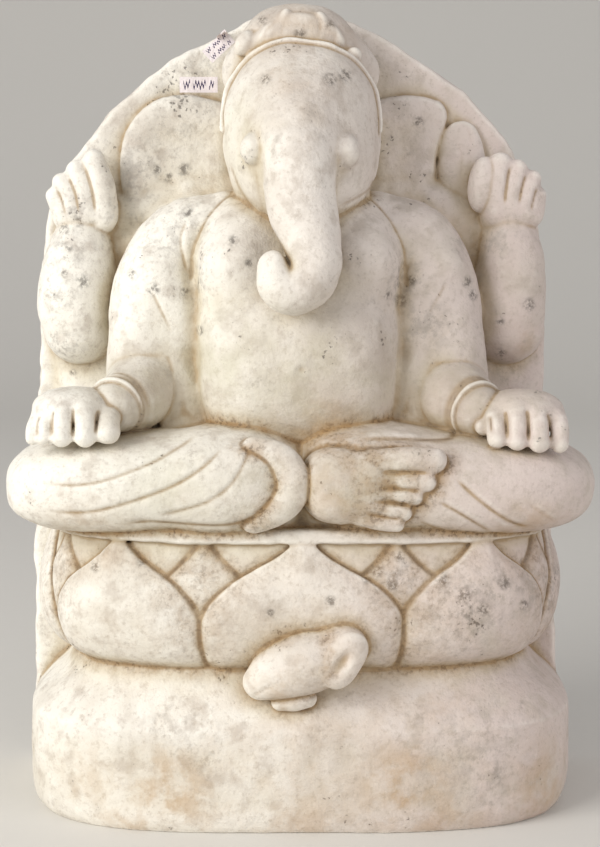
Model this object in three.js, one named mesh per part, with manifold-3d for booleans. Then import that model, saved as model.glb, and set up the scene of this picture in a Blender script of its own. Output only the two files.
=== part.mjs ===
// A seated Ganesha carved from one block of white marble, with two paper stock labels stuck on it.
// Millimetres, +Z up, the front faces -Y. The origin is the middle of the footprint, on the floor.
//
// The stone is one block. It is divided into named parts along its carved creases, and each part is
// cut back by the parts in front of it, so that no two parts overlap.
import * as THREE from "three";
import { mergeVertices } from "three/addons/utils/BufferGeometryUtils.js";
import Module from "manifold-3d";

const wasm = await Module();
wasm.setup();

// Driving dimensions.
const HEIGHT = 560;
const HALF_WIDTH = 202; // knee to knee is twice this
const HALF_DEPTH = 95;
const SLAB_FRONT = 52; // y of the back slab's front face
const PLINTH_HALF_WIDTH = 194;
const PLINTH_FRONT = -84;
const RIDGE_Z = 72; // where the plinth's upright face turns into its slope
const WAIST_Z = 108; // the narrow neck under the lotus
const LOTUS_TOP_Z = 197;
const SEAT_Z = 206; // top of the seat board, under the crossed legs
const GAP = 0.35; // how far a part stays off its neighbour
const MOULDING_DEPTH = SLAB_FRONT - PLINTH_FRONT;

// ---------------------------------------------------------------- shapes

const point = (x, y, z) => new THREE.Vector3(x, y, z);

// A ball stretched to three radii. A power over 2 squares it off towards a pillow.
function ball(centre, radii, { power = 2, sides = 14, rings = 8, turn = [0, 0, 0] } = {}) {
  const geometry = new THREE.SphereGeometry(1, sides, rings);
  const at = geometry.attributes.position;
  const bend = (value) => Math.sign(value) * Math.abs(value) ** (2 / power);
  for (let i = 0; i < at.count; i++) {
    const [x, y, z] = [at.getX(i), at.getZ(i), at.getY(i)];
    const round = Math.hypot(x, y);
    const [cos, sin] = round > 1e-6 ? [x / round, y / round] : [0, 0];
    at.setXYZ(i, radii[0] * bend(cos) * bend(round), -radii[1] * bend(sin) * bend(round), radii[2] * bend(z));
  }
  geometry.rotateX(turn[0]).rotateY(turn[1]).rotateZ(turn[2]);
  return geometry.translate(...centre);
}

// A round limb with domed ends, swept through [x, y, z, radius] stations along a smooth curve.
// It is a lathed unit tube whose rings are laid square to the curve.
function limb(stations, sides = 12, capSteps = 2, stepsEach = 2) {
  const centres = stations.map(([x, y, z]) => point(x, y, z));
  const curve = new THREE.CatmullRomCurve3(centres, false, "centripetal");
  const bends = centres.length > 2;
  const steps = bends ? stepsEach * (centres.length - 1) : 1;
  const rings = [];
  const addCap = (end, along, radius, sign) => {
    for (let i = 0; i <= capSteps; i++) {
      const a = ((capSteps - i) / (capSteps + 0.5)) * (Math.PI / 2);
      const [shift, share] = [sign * Math.sin(a) * radius, Math.cos(a)];
      rings.push({ at: end.clone().addScaledVector(along, shift), along, radius: radius * share });
    }
    return rings.splice(rings.length - capSteps - 1);
  };
  const along = (t) => curve.getTangent(t).normalize();
  const [first, last] = [stations[0][3], stations.at(-1)[3]];
  const startCap = addCap(centres[0], along(0), first, -1);
  const endCap = addCap(centres.at(-1), along(1), last, 1).reverse();
  const body = [];
  for (let i = 1; i < steps; i++) {
    const t = i / steps;
    const station = Math.min(Math.floor(t * (stations.length - 1)), stations.length - 2);
    const share = t * (stations.length - 1) - station;
    const radius = THREE.MathUtils.lerp(stations[station][3], stations[station + 1][3], share);
    body.push({ at: curve.getPoint(t), along: along(t), radius });
  }
  const all = [...startCap, ...body, ...endCap];
  const [tail, nose] = [startCap[0], endCap.at(-1)];
  tail.pole = centres[0].clone().addScaledVector(tail.along, -first);
  nose.pole = centres.at(-1).clone().addScaledVector(nose.along, last);

  const profile = all.map((_, i) => new THREE.Vector2(1, i));
  const geometry = new THREE.LatheGeometry(
    [new THREE.Vector2(0, -1), ...profile, new THREE.Vector2(0, all.length)], sides);
  const side = Math.abs(all[0].along.x) < 0.8 ? point(1, 0, 0) : point(0, 0, 1);
  for (const ring of all) {
    side.addScaledVector(ring.along, -side.dot(ring.along)).normalize();
    ring.side = side.clone();
    ring.up = ring.along.clone().cross(ring.side);
  }
  const at = geometry.attributes.position;
  for (let i = 0; i < at.count; i++) {
    const [x, level, z] = [at.getX(i), Math.round(at.getY(i)), at.getZ(i)];
    const ring = all[THREE.MathUtils.clamp(level, 0, all.length - 1)];
    const isPole = level < 0 || level === all.length;
    const to = isPole
      ? ring.pole
      : ring.at.clone().addScaledVector(ring.side, x * ring.radius).addScaledVector(ring.up, z * ring.radius);
    at.setXYZ(i, to.x, to.y, to.z);
  }
  return [geometry];
}

// A plate cut to an outline in the XZ plane, from y = front to y = back, with rounded rims.
function plate(outline, front, back, rim = 0, curveSegments = 8) {
  const geometry = new THREE.ExtrudeGeometry(outline, {
    depth: back - front - 2 * rim,
    bevelEnabled: rim > 0,
    bevelThickness: rim,
    bevelSize: rim,
    bevelOffset: -rim,
    bevelSegments: 2,
    curveSegments,
  });
  return geometry.rotateX(Math.PI / 2).translate(0, back - rim, 0);
}

// A moulding that runs round the front of the block: a lathed profile of [share of the plan, z],
// squared off to the plinth's rounded-box plan.
const PLAN_POWER = 3.5;
function moulding(profile, sides = 36) {
  const rings = profile.map(([share, z]) => new THREE.Vector2(share, z));
  const closed = [new THREE.Vector2(0, rings[0].y), ...rings, new THREE.Vector2(0, rings.at(-1).y)];
  const geometry = new THREE.LatheGeometry(closed, sides);
  const at = geometry.attributes.position;
  const bend = (value) => Math.sign(value) * Math.abs(value) ** (2 / PLAN_POWER);
  for (let i = 0; i < at.count; i++) {
    const [x, z, y] = [at.getX(i), at.getY(i), at.getZ(i)];
    const share = Math.hypot(x, y);
    const [cos, sin] = share > 1e-6 ? [x / share, y / share] : [0, 0];
    at.setXYZ(i, PLINTH_HALF_WIDTH * share * bend(cos), SLAB_FRONT - MOULDING_DEPTH * share * bend(sin), z);
  }
  return geometry;
}

// ---------------------------------------------------------------- solids

function signedVolume(at, triangles) {
  const [a, b, c] = [point(), point(), point()];
  let sum = 0;
  for (let i = 0; i < triangles.length; i += 3) {
    a.fromBufferAttribute(at, triangles[i]);
    b.fromBufferAttribute(at, triangles[i + 1]);
    c.fromBufferAttribute(at, triangles[i + 2]);
    sum += a.dot(b.cross(c)) / 6;
  }
  return sum;
}

// A geometry as a manifold-3d solid that faces outwards, grown by a distance.
function solid(geometry, grow = 0) {
  const bare = geometry.clone();
  for (const name of ["normal", "uv"]) bare.deleteAttribute(name);
  const merged = mergeVertices(bare, 1e-3);
  const corners = merged.index.array;
  const triangles = [];
  for (let i = 0; i < corners.length; i += 3) {
    const [a, b, c] = corners.slice(i, i + 3);
    if (a !== b && b !== c && c !== a) triangles.push(a, b, c);
  }
  const at = merged.attributes.position;
  if (signedVolume(at, triangles) < 0) triangles.reverse();
  if (grow) {
    merged.setIndex(triangles);
    merged.computeVertexNormals();
    const normal = merged.attributes.normal;
    for (let i = 0; i < at.count; i++) {
      const moved = point().fromBufferAttribute(at, i);
      moved.addScaledVector(point().fromBufferAttribute(normal, i), grow);
      at.setXYZ(i, moved.x, moved.y, moved.z);
    }
  }
  const mesh = new wasm.Mesh({ numProp: 3, vertProperties: at.array, triVerts: new Uint32Array(triangles) });
  mesh.merge();
  return new wasm.Manifold(mesh);
}

const joined = (geometries, grow = 0) => geometries.map((g) => solid(g, grow)).reduce((a, b) => a.add(b));

// The shape that a part starts from: its pieces joined, then cut to what it lies within.
function rough({ pieces, within = [], hollows = [] }, grow = 0) {
  const whole = within.reduce((made, g) => made.intersect(solid(g, grow)), joined(pieces, grow));
  return hollows.reduce((made, g) => made.subtract(solid(g, -grow / 2)), whole);
}

function overlaps(a, b) {
  const [p, q] = [a.boundingBox(), b.boundingBox()];
  return [0, 1, 2].every((k) => p.min[k] < q.max[k] && q.min[k] < p.max[k]);
}

const largest = (made) => made.decompose().reduce((a, b) => (a.volume() > b.volume() ? a : b));

// ---------------------------------------------------------------- base

const plinth = () => ({
  pieces: [moulding([
    [0.98, 0], [0.995, 7], [1, 22], [1, RIDGE_Z - 8], [0.99, RIDGE_Z],
    [0.955, RIDGE_Z + 12], [0.89, WAIST_Z - 10], [0.835, WAIST_Z - GAP]])],
});

// The lotus bulges out over the waist. Each row of petals stands a little behind the one in front.
function lotusSurface(inset) {
  const share = (value) => value - inset / MOULDING_DEPTH;
  return moulding([
    [share(0.84), WAIST_Z], [share(0.895), 118], [share(0.935), 135], [share(0.953), 155],
    [share(0.95), 172], [share(0.93), 187], [share(0.915), LOTUS_TOP_Z - GAP]]);
}
const INNER_ROW_INSET = 2.5;
const CORE_INSET = 7;

// A petal with square shoulders and an ogee tip, cut from the shell between the lotus surface and
// the core. It faces the way that turn says, in degrees from the front, and its middle is shifted
// sideways along its own face.
function petal({ turn, shift, halfWidth, inset = 0, tipZ = LOTUS_TOP_Z + 7 }) {
  const outline = new THREE.Shape();
  outline.moveTo(-halfWidth * 0.9, WAIST_Z - 4);
  for (const side of [-1, 1]) {
    const x = (share) => side * share * halfWidth;
    if (side < 0) {
      outline.quadraticCurveTo(x(1.02), WAIST_Z + 8, x(1), WAIST_Z + 28);
      outline.bezierCurveTo(x(1), WAIST_Z + 55, x(0.62), WAIST_Z + 70, x(0.3), tipZ - 16);
      outline.quadraticCurveTo(x(0.12), tipZ - 8, 0, tipZ);
    } else {
      outline.quadraticCurveTo(x(0.12), tipZ - 8, x(0.3), tipZ - 16);
      outline.bezierCurveTo(x(0.62), WAIST_Z + 70, x(1), WAIST_Z + 55, x(1), WAIST_Z + 28);
      outline.quadraticCurveTo(x(1.02), WAIST_Z + 8, x(0.9), WAIST_Z - 4);
    }
  }
  outline.closePath();
  const cutter = plate(outline, -2 * MOULDING_DEPTH, -45, 0, 5)
    .translate(shift, 0, 0)
    .rotateZ(THREE.MathUtils.degToRad(turn))
    .translate(0, SLAB_FRONT, 0);
  return { pieces: [cutter], within: [lotusSurface(inset)], hollows: [lotusSurface(CORE_INSET - GAP)] };
}

const lotusCore = () => ({ pieces: [lotusSurface(CORE_INSET)] });
const seatBoard = () => ({
  pieces: [moulding([[0.915, LOTUS_TOP_Z], [0.93, LOTUS_TOP_Z + 3], [0.925, SEAT_Z - 2], [0.91, SEAT_Z - GAP]])],
});

// The back slab: upright sides, then a pointed arch that follows the raised hands and the crown.
function backSlab() {
  const outline = new THREE.Shape();
  outline.moveTo(-191, 0);
  outline.lineTo(-194, 100);
  outline.lineTo(-187, 340);
  outline.splineThru([[-181, 392], [-172, 438], [-139, 476], [-86, 521], [-30, 552], [0, 556]].map(
    ([x, z]) => new THREE.Vector2(x, z)));
  outline.splineThru([[30, 552], [72, 530], [122, 491], [163, 441], [174, 392], [178, 300]].map(
    ([x, z]) => new THREE.Vector2(x, z)));
  outline.lineTo(191, 100);
  outline.lineTo(192, 0);
  outline.closePath();
  return { pieces: [plate(outline, SLAB_FRONT, HALF_DEPTH, 6, 3)] };
}

// ---------------------------------------------------------------- mouse

const mouseBody = () => ({ pieces: limb([[-27, -74, 107, 14], [-8, -74, 114, 17], [14, -74, 121, 19]], 10) });
const mouseHead = () => ({
  pieces: [ball([27, -76, 127], [19, 19, 16], { turn: [0, -0.5, 0], sides: 14, rings: 8 })],
  hollows: [ball([28, -98, 125], [6, 9, 11], { turn: [0, 0.6, 0], sides: 10, rings: 6 })],
});
const mousePaw = () => ({ pieces: limb([[-13, -76, 91, 7], [4, -76, 94, 7]], 10) });

// ---------------------------------------------------------------- legs

const LEG_Z = 234;
const KNEE_DROOP = 0.045; // radians
const leg = (side) => ({
  pieces: [ball([side * (HALF_WIDTH / 2 + 1.2), -17, LEG_Z], [HALF_WIDTH / 2 - 1.2, 67, 35],
    { power: 2.9, sides: 20, rings: 9, turn: [0, side * KNEE_DROOP, 0] })],
});
const hemRoll = () => ({
  pieces: limb([[-27, -70, 262, 8], [-10, -75, 256, 8], [-5, -78, 242, 8], [-9, -78, 226, 8], [-26, -75, 213, 8],
    [-50, -72, 207, 6]], 10),
});

const TOES = [
  { from: [62, -77, 256], tip: [91, -79, 255], radius: 8 },
  { from: [57, -79, 245], tip: [85, -81, 242], radius: 6.4 },
  { from: [52, -79, 235], tip: [77, -81, 231], radius: 5.8 },
  { from: [46, -78, 225], tip: [71, -80, 221], radius: 5.2 },
  { from: [42, -77, 217], tip: [66, -78, 213.5], radius: 4.8 },
];
const foldedFoot = () => ({
  pieces: [
    ball([36, -62, 237], [34, 27, 27], { power: 2.5, sides: 16, rings: 10 }),
    ...TOES.flatMap(({ from, tip, radius }) => limb([[...from, radius * 1.1], [...tip, radius]], 7)),
  ],
});

// ---------------------------------------------------------------- body

const torso = () => ({
  pieces: [
    ball([-3, 0, 319], [71, 56, 56], { power: 2.5, sides: 18, rings: 12 }),
    ball([-1, 10, 370], [73, 50, 62], { power: 2.6, sides: 14, rings: 8 }),
    ball([-42, -12, 384], [31, 30, 31], { sides: 12, rings: 7 }),
    ball([44, -12, 384], [31, 30, 31], { sides: 12, rings: 7 }),
  ],
});
const navel = () => ({ pieces: [ball([-1, -55, 313], [8, 4.5, 8], { sides: 12, rings: 8 })] });

// The arms in front, resting on the knees. The two sides differ a little, as carved.
const ARM_STATIONS = {
  right: [[-60, 22, 402, 25], [-92, 16, 382, 29], [-102, 8, 340, 27], [-106, 0, 304, 26]],
  left: [[60, 22, 402, 25], [88, 16, 382, 29], [97, 8, 340, 27], [102, 0, 302, 26]],
};
const FOREARM_STATIONS = {
  right: [[-111, -14, 298, 27], [-122, -40, 286, 20]],
  left: [[105, -14, 293, 27], [118, -40, 283, 20]],
};
const upperArm = (which) => ({ pieces: limb(ARM_STATIONS[which], 12) });
const forearm = (which) => ({ pieces: limb(FOREARM_STATIONS[which], 12, 2) });

function bracelet(which, share = 0.9, tube = 3.2) {
  const [[ax, ay, az, ar], [bx, by, bz, br]] = FOREARM_STATIONS[which];
  const [elbow, wrist] = [point(ax, ay, az), point(bx, by, bz)];
  const radius = THREE.MathUtils.lerp(ar, br, share);
  const ring = new THREE.TorusGeometry(radius, tube, 6, 14);
  const along = wrist.clone().sub(elbow).normalize();
  ring.applyQuaternion(new THREE.Quaternion().setFromUnitVectors(point(0, 0, 1), along));
  const at = elbow.clone().lerp(wrist, share);
  return { pieces: [ring.translate(at.x, at.y, at.z)] };
}

// Each finger hangs from a knuckle over the knee: [x, knuckle z, tip z, radius].
const FINGERS = {
  right: [[-177, 282, 265, 5], [-168, 287, 264, 6.2], [-156, 290, 265, 7.4], [-142, 290, 266, 7.2]],
  left: [[129, 286, 264, 7], [143, 288, 263, 7.4], [157.5, 287, 262, 7.4], [171, 283, 262, 6.6]],
};
const PALMS = {
  right: ball([-151, -45, 284], [27, 24, 15], { power: 2.4 }),
  left: ball([147, -44, 282], [28, 24, 16], { power: 2.4 }),
};
const THUMBS = {
  right: limb([[-127, -46, 283, 9], [-126, -60, 278, 8], [-127, -70, 271, 8.4]], 8),
  left: limb([[121, -46, 276, 8], [121, -54, 272, 7]], 8),
};
const handOnKnee = (which) => ({
  pieces: [
    PALMS[which],
    ...FINGERS[which].flatMap(([x, top, tip, radius]) =>
      limb([[x, -48, top - 2, radius], [x, -62, top - 4, radius], [x, -68, tip + radius, radius * 0.95]], 7, 1, 1)),
    ...THUMBS[which],
  ],
});

const SASHES = {
  right: [[-104, -14, 378, 8], [-92, -17, 354, 8], [-80, -18, 330, 7]],
  left: [[102, -13, 378, 8], [88, -17, 358, 8], [77, -18, 334, 7]],
};
const sash = (which) => ({ pieces: limb(SASHES[which], 10) });

// ---------------------------------------------------------------- raised arms

const RAISED_ARM = {
  right: [[-158, 36, 334, 27], [-157, 34, 368, 26], [-154, 38, 404, 19]],
  left: [[148, 36, 335, 27], [150, 34, 368, 25], [149, 38, 402, 18]],
};
const raisedArm = (which) => ({ pieces: limb(RAISED_ARM[which], 14) });

const RAISED_FINGERS = {
  right: [
    [[-138, 30, 423, 9], [-143, 32, 449, 8]],
    [[-148, 30, 422, 8], [-154, 32, 444, 7]],
    [[-157, 31, 420, 7], [-164, 33, 437, 6.4]],
    [[-165, 32, 417, 6], [-172, 34, 429, 6]],
  ],
  left: [
    [[139, 30, 428, 8], [142, 32, 449, 7.4]],
    [[148, 30, 425, 8], [151, 32, 445, 7]],
    [[156, 31, 421, 7], [160, 33, 437, 6.4]],
    [[162, 32, 417, 6], [166, 34, 429, 5.6]],
  ],
};
const RAISED_PALM = {
  right: ball([-151, 38, 416], [22, 17, 17]),
  left: ball([147, 38, 417], [22, 17, 18]),
};
const raisedHand = (which) => ({
  pieces: [RAISED_PALM[which], ...RAISED_FINGERS[which].flatMap((stations) => limb(stations, 6, 1))],
});
const raisedThumb = () => ({ pieces: [ball([129, 32, 436], [11, 13, 20], { turn: [0, 0.1, 0], sides: 14, rings: 8 })] });

// The low, worn object that the raised left hand holds, like a bud or an axe blade.
const heldBud = () => ({ pieces: [ball([116, 50, 444], [19, 9, 37], { power: 2.3, turn: [0, -0.06, 0] })] });

// ---------------------------------------------------------------- head

const HEAD = { centre: [1.5, 12, 465], radii: [55, 57, 71] };
const head = () => ({
  pieces: [
    ball(HEAD.centre, HEAD.radii, { power: 2.1, sides: 18, rings: 12 }),
    ball([1, -8, 452], [44, 42, 46], { sides: 12, rings: 8 }),
  ],
});

// A point on the front of the head, pushed out by a distance.
function onHead(x, z, out = 0) {
  const [u, w] = [(x - HEAD.centre[0]) / HEAD.radii[0], (z - HEAD.centre[2]) / HEAD.radii[2]];
  return HEAD.centre[1] - HEAD.radii[1] * Math.sqrt(Math.max(0, 1 - u * u - w * w)) - out;
}

const ear = (which) => {
  const outline = new THREE.Shape();
  const points = {
    right: [[-78, 497], [-98, 496], [-117, 483], [-127, 462], [-129, 438], [-118, 414], [-50, 404]],
    left: [[80, 497], [99, 493], [104, 478], [97, 458], [95, 438], [98, 412], [50, 402]],
  }[which];
  const start = which === "right" ? [-46, 490] : [48, 492];
  outline.moveTo(...start);
  outline.splineThru(points.map(([x, z]) => new THREE.Vector2(x, z)));
  outline.closePath();
  return { pieces: [plate(outline, 41, SLAB_FRONT + 3, 4, 3)] };
};

const trunk = () => ({
  pieces: [
    ...limb([[0, -27, 476, 21], [-1, -46, 454, 25], [1, -52, 424, 23], [6, -59, 398, 20], [9, -64, 372, 17]], 14, 2),
    ...limb([[8, -66, 367, 15.5], [-13, -66, 365, 14.5]], 12, 2),
    ...limb([[-15, -66, 367, 13], [-18, -65, 379, 11]], 12, 2),
  ],
});
const eyeBoss = (x) => ({ pieces: [ball([x, -40, 457], [9.8, 10, 10.6], { sides: 12, rings: 8 })] });

// The rolled band round the forehead, laid along the head's own curve.
const BAND_RADIUS = 3.4;
function foreheadBand() {
  const stations = [];
  const steps = 9;
  for (let i = 0; i <= steps; i++) {
    const a = THREE.MathUtils.degToRad(-14 + (208 * i) / steps);
    const [x, z] = [1.5 + 51 * Math.cos(a), 484 + 44 * Math.sin(a)];
    stations.push([x, onHead(x, z, -1), z, BAND_RADIUS]);
  }
  return { pieces: limb(stations, 6, 1, 1) };
}
const crown = () => ({
  pieces: [ball([0, 28, 530], [46, 31, HEIGHT - 530], { power: 2.2, sides: 16, rings: 8 })],
});
const crownCrest = () => ({ pieces: [ball([0, -1, 542], [17, 9, 9], { power: 2.4, sides: 12, rings: 6 })] });
const crownRosette = (x, z) => ({ pieces: [ball([x, 4, z], [7, 8, 8], { sides: 10, rings: 6 })] });

// ---------------------------------------------------------------- paper labels

const PAPER = 0.5;
function paperLabel([width, height], [x, z], turn) {
  return {
    pieces: [new THREE.BoxGeometry(width, PAPER, height)
      .rotateY(-THREE.MathUtils.degToRad(turn))
      .translate(x, SLAB_FRONT - GAP - PAPER / 2, z)],
  };
}

// ---------------------------------------------------------------- assembly

const marble = (tint = 0xe0d8c8) => new THREE.MeshStandardMaterial({ color: tint, roughness: 0.55, metalness: 0 });
const paper = new THREE.MeshStandardMaterial({ color: 0xf0eaea, roughness: 0.8, metalness: 0 });

// In carving order, from the front back: each part is cut by every part above it.
const parts = {
  paper_label_lower: paperLabel([27, 11], [-72, 504.5], 0),
  paper_label_upper: paperLabel([22, 11], [-60, 523], 45),
  eye_boss_right: eyeBoss(-31),
  eye_boss_left: eyeBoss(30),
  trunk: trunk(),
  crown_rosette_right: crownRosette(-38, 530),
  crown_rosette_left: crownRosette(37, 522),
  crown_crest: crownCrest(),
  forehead_band: foreheadBand(),
  head: head(),
  crown: crown(),
  mouse_paw: mousePaw(),
  mouse_head: mouseHead(),
  mouse_body: mouseBody(),
  navel: navel(),
  hand_right: handOnKnee("right"),
  hand_left: handOnKnee("left"),
  bracelet_right: bracelet("right"),
  bracelet_left: bracelet("left"),
  forearm_right: forearm("right"),
  forearm_left: forearm("left"),
  folded_foot: foldedFoot(),
  hem_roll: hemRoll(),
  torso: torso(),
  sash_right: sash("right"),
  sash_left: sash("left"),
  upper_arm_right: upperArm("right"),
  upper_arm_left: upperArm("left"),
  leg_right: leg(-1),
  leg_left: leg(1),
  raised_thumb_left: raisedThumb(),
  raised_hand_right: raisedHand("right"),
  raised_hand_left: raisedHand("left"),
  raised_arm_right: raisedArm("right"),
  raised_arm_left: raisedArm("left"),
  held_bud_left: heldBud(),
  ear_right: ear("right"),
  ear_left: ear("left"),
  seat_board: seatBoard(),
  petal_front: petal({ turn: 0, shift: 2, halfWidth: 71 }),
  petal_corner_right: petal({ turn: -42, shift: -18, halfWidth: 52 }),
  petal_corner_left: petal({ turn: 42, shift: 18, halfWidth: 52 }),
  petal_side_right: petal({ turn: -90, shift: 34, halfWidth: 44 }),
  petal_side_left: petal({ turn: 90, shift: -34, halfWidth: 44 }),
  petal_inner_right: petal({ turn: -27, shift: -4, halfWidth: 40, inset: INNER_ROW_INSET }),
  petal_inner_left: petal({ turn: 27, shift: 4, halfWidth: 40, inset: INNER_ROW_INSET }),
  petal_inner_side_right: petal({ turn: -66, shift: 4, halfWidth: 40, inset: INNER_ROW_INSET }),
  petal_inner_side_left: petal({ turn: 66, shift: -4, halfWidth: 40, inset: INNER_ROW_INSET }),
  lotus_core: lotusCore(),
  plinth: plinth(),
  back_slab: backSlab(),
};

// Everything in relief stops just short of the back slab's flat face.
const inFrontOfSlab = solid(new THREE.BoxGeometry(3 * HALF_WIDTH, 2 * MOULDING_DEPTH, 3 * HEIGHT)
  .translate(0, SLAB_FRONT - GAP - MOULDING_DEPTH, 0));

const group = new THREE.Group();
const cutters = [];
for (const [name, part] of Object.entries(parts)) {
  let made = rough(part);
  if (name !== "back_slab") {
    made = made.intersect(inFrontOfSlab);
    for (const cutter of cutters) if (overlaps(cutter, made)) made = made.subtract(cutter);
  }
  const { vertProperties, triVerts } = largest(made).getMesh();
  const geometry = new THREE.BufferGeometry()
    .setAttribute("position", new THREE.BufferAttribute(new Float32Array(vertProperties), 3))
    .setIndex(new THREE.BufferAttribute(new Uint32Array(triVerts), 1));
  geometry.computeVertexNormals();
  const mesh = new THREE.Mesh(geometry, name.startsWith("paper") ? paper : marble());
  mesh.name = name;
  group.add(mesh);
  cutters.push(rough(part, GAP));
}

// The reliefs and the back stand off the middle of the footprint by the same distance.
const extent = new THREE.Box3().setFromObject(group);
group.position.y = -(extent.min.y + extent.max.y) / 2;

export default group;
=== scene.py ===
"""The looks of a seated Ganesha carved from one block of marble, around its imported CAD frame.

The stone is one carving, so its shapes are sculpted together in one distance field, in millimetres:
each CAD node's own shape is placed in that node's box, blended into its neighbours, and engraved.
The field is then meshed into one closed piece for each node, and neighbours share their edges.
"""

from math import cos, radians, sin

import bpy
import numpy as np
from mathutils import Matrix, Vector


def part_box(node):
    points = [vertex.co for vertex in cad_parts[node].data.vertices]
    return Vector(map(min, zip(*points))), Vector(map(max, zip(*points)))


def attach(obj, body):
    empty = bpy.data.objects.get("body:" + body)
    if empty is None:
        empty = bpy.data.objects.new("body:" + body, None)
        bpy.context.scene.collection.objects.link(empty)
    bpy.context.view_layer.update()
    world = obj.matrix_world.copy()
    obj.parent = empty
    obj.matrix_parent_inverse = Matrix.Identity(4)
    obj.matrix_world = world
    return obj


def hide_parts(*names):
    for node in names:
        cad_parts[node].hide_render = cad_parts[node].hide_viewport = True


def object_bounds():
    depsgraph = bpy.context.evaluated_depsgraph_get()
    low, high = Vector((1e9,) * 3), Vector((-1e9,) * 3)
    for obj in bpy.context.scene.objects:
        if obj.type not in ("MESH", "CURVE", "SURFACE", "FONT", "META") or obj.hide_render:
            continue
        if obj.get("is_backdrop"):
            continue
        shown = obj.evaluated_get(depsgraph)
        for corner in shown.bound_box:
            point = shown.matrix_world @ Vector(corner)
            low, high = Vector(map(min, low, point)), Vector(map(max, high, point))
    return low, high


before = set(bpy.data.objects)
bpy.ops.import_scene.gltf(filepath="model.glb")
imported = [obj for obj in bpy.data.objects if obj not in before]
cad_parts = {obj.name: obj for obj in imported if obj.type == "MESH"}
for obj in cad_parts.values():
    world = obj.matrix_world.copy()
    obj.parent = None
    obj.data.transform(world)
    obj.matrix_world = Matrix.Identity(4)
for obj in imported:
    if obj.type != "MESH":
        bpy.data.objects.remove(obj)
CAD_LOW, CAD_HIGH = (np.array(corner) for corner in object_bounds())

MM = 1000.0
STEP = 1.25  # the field's sample spacing
FAR = 60.0  # the field in open air, far from any stone
PAPER = ("paper_label_lower", "paper_label_upper")
STONE = [name for name in sorted(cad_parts) if name not in PAPER]
NUMBER = {name: i + 1 for i, name in enumerate(STONE)}
BOX = {name: [np.array(corner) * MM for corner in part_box(name)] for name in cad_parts}


def at(node, across, depth, height):
    """The point that lies at these shares of a CAD node's box, in millimetres."""
    low, high = BOX[node]
    return low + (high - low) * np.array((across, depth, height))


def strand(node, *stations):
    """Points and radii along a limb: shares of the node's box, and a radius in millimetres."""
    return np.array([(*at(node, *share), radius) for *share, radius in stations])


def line(node, *shares):
    """Points of a carved line on the front: shares of the node's box, across and up."""
    return np.array([at(node, across, 0, height)[[0, 2]] for across, height in shares])


# ---------------------------------------------------------------- the field

PAD = 4 * STEP
START = CAD_LOW * MM - PAD
SHAPE = tuple(np.ceil(((CAD_HIGH - CAD_LOW) * MM + 2 * PAD) / STEP).astype(int) + 1)
AXES = [(START[k] + STEP * np.arange(SHAPE[k])).astype(np.float32) for k in range(3)]

field = np.full(SHAPE, FAR, np.float32)  # below zero inside the stone
nearest = np.full(SHAPE, FAR, np.float32)
second = np.full(SHAPE, FAR, np.float32)
owner = np.zeros(SHAPE, np.uint8)
runner_up = np.zeros(SHAPE, np.uint8)
carved = np.zeros(SHAPE, np.float16)  # how much a line or joint has cut here, 0 to 1
dirty = np.zeros(SHAPE, np.float16)  # how much dirt a joint has spread around it, 0 to 1


class Window:
    """The samples of the field inside a box, and their coordinates."""

    def __init__(self, low, high):
        first = np.clip(np.floor((np.array(low) - START) / STEP).astype(int), 0, SHAPE)
        last = np.clip(np.ceil((np.array(high) - START) / STEP).astype(int) + 1, 0, SHAPE)
        self.cut = tuple(slice(a, b) for a, b in zip(first, last))
        self.x = AXES[0][self.cut[0]][:, None, None]
        self.y = AXES[1][self.cut[1]][None, :, None]
        self.z = AXES[2][self.cut[2]][None, None, :]


def join(a, b, blend):
    """Union of two distances, with a fillet between them."""
    h = np.maximum(blend - np.abs(a - b), 0) / blend
    return np.minimum(a, b) - h * h * blend / 4


def meet(a, b, blend):
    """Intersection of two distances, with a rounded edge."""
    return -join(-a, -b, blend)


def pillow(w, centre, radii, power=2.0, tilt=0.0):
    """Distance to an ellipsoid. A power over 2 squares it off; tilt turns it in the front plane."""
    x, y, z = w.x - centre[0], w.y - centre[1], w.z - centre[2]
    if tilt:
        x, z = x * cos(tilt) - z * sin(tilt), x * sin(tilt) + z * cos(tilt)
    shares = [np.abs(v) / radius for v, radius in zip((x, y, z), radii)]
    size = np.maximum(sum(s**power for s in shares) ** (1 / power), 0.05)
    slope = np.sqrt(sum((s ** (power - 1) / r) ** 2 for s, r in zip(shares, radii)))
    return (size - 1) / np.maximum(slope * size ** (1 - power), 0.5 / max(radii))


def smooth(points, steps=5):
    """More points on a smooth curve through these."""
    points = np.asarray(points, float)
    if len(points) < 3:
        return points
    ends = np.vstack([2 * points[0] - points[1], points, 2 * points[-1] - points[-2]])
    t = (np.arange(steps) / steps)[:, None]
    made = [
        b + 0.5 * t * (c - a + t * (2 * a - 5 * b + 4 * c - d + t * (3 * (b - c) + d - a)))
        for a, b, c, d in zip(ends, ends[1:], ends[2:], ends[3:])
    ]
    return np.vstack([*made, points[-1:]])


def limb(w, stations, flat=1.0):
    """Distance to a round limb. A flat over 1 presses it back towards the slab."""
    stations = smooth(stations, 4)
    nearest_yet = None
    for (*a, ra), (*b, rb) in zip(stations, stations[1:]):
        along = np.array(b) - a
        x, y, z = w.x - a[0], (w.y - a[1]) * flat, w.z - a[2]
        along[1] *= flat
        share = (x * along[0] + y * along[1] + z * along[2]) / max(along @ along, 1e-6)
        share = np.clip(share, 0, 1)
        gap = np.sqrt(
            (x - share * along[0]) ** 2 + (y - share * along[1]) ** 2 + (z - share * along[2]) ** 2
        ) - (ra + share * (rb - ra))
        nearest_yet = gap if nearest_yet is None else np.minimum(nearest_yet, gap)
    return nearest_yet


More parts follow.
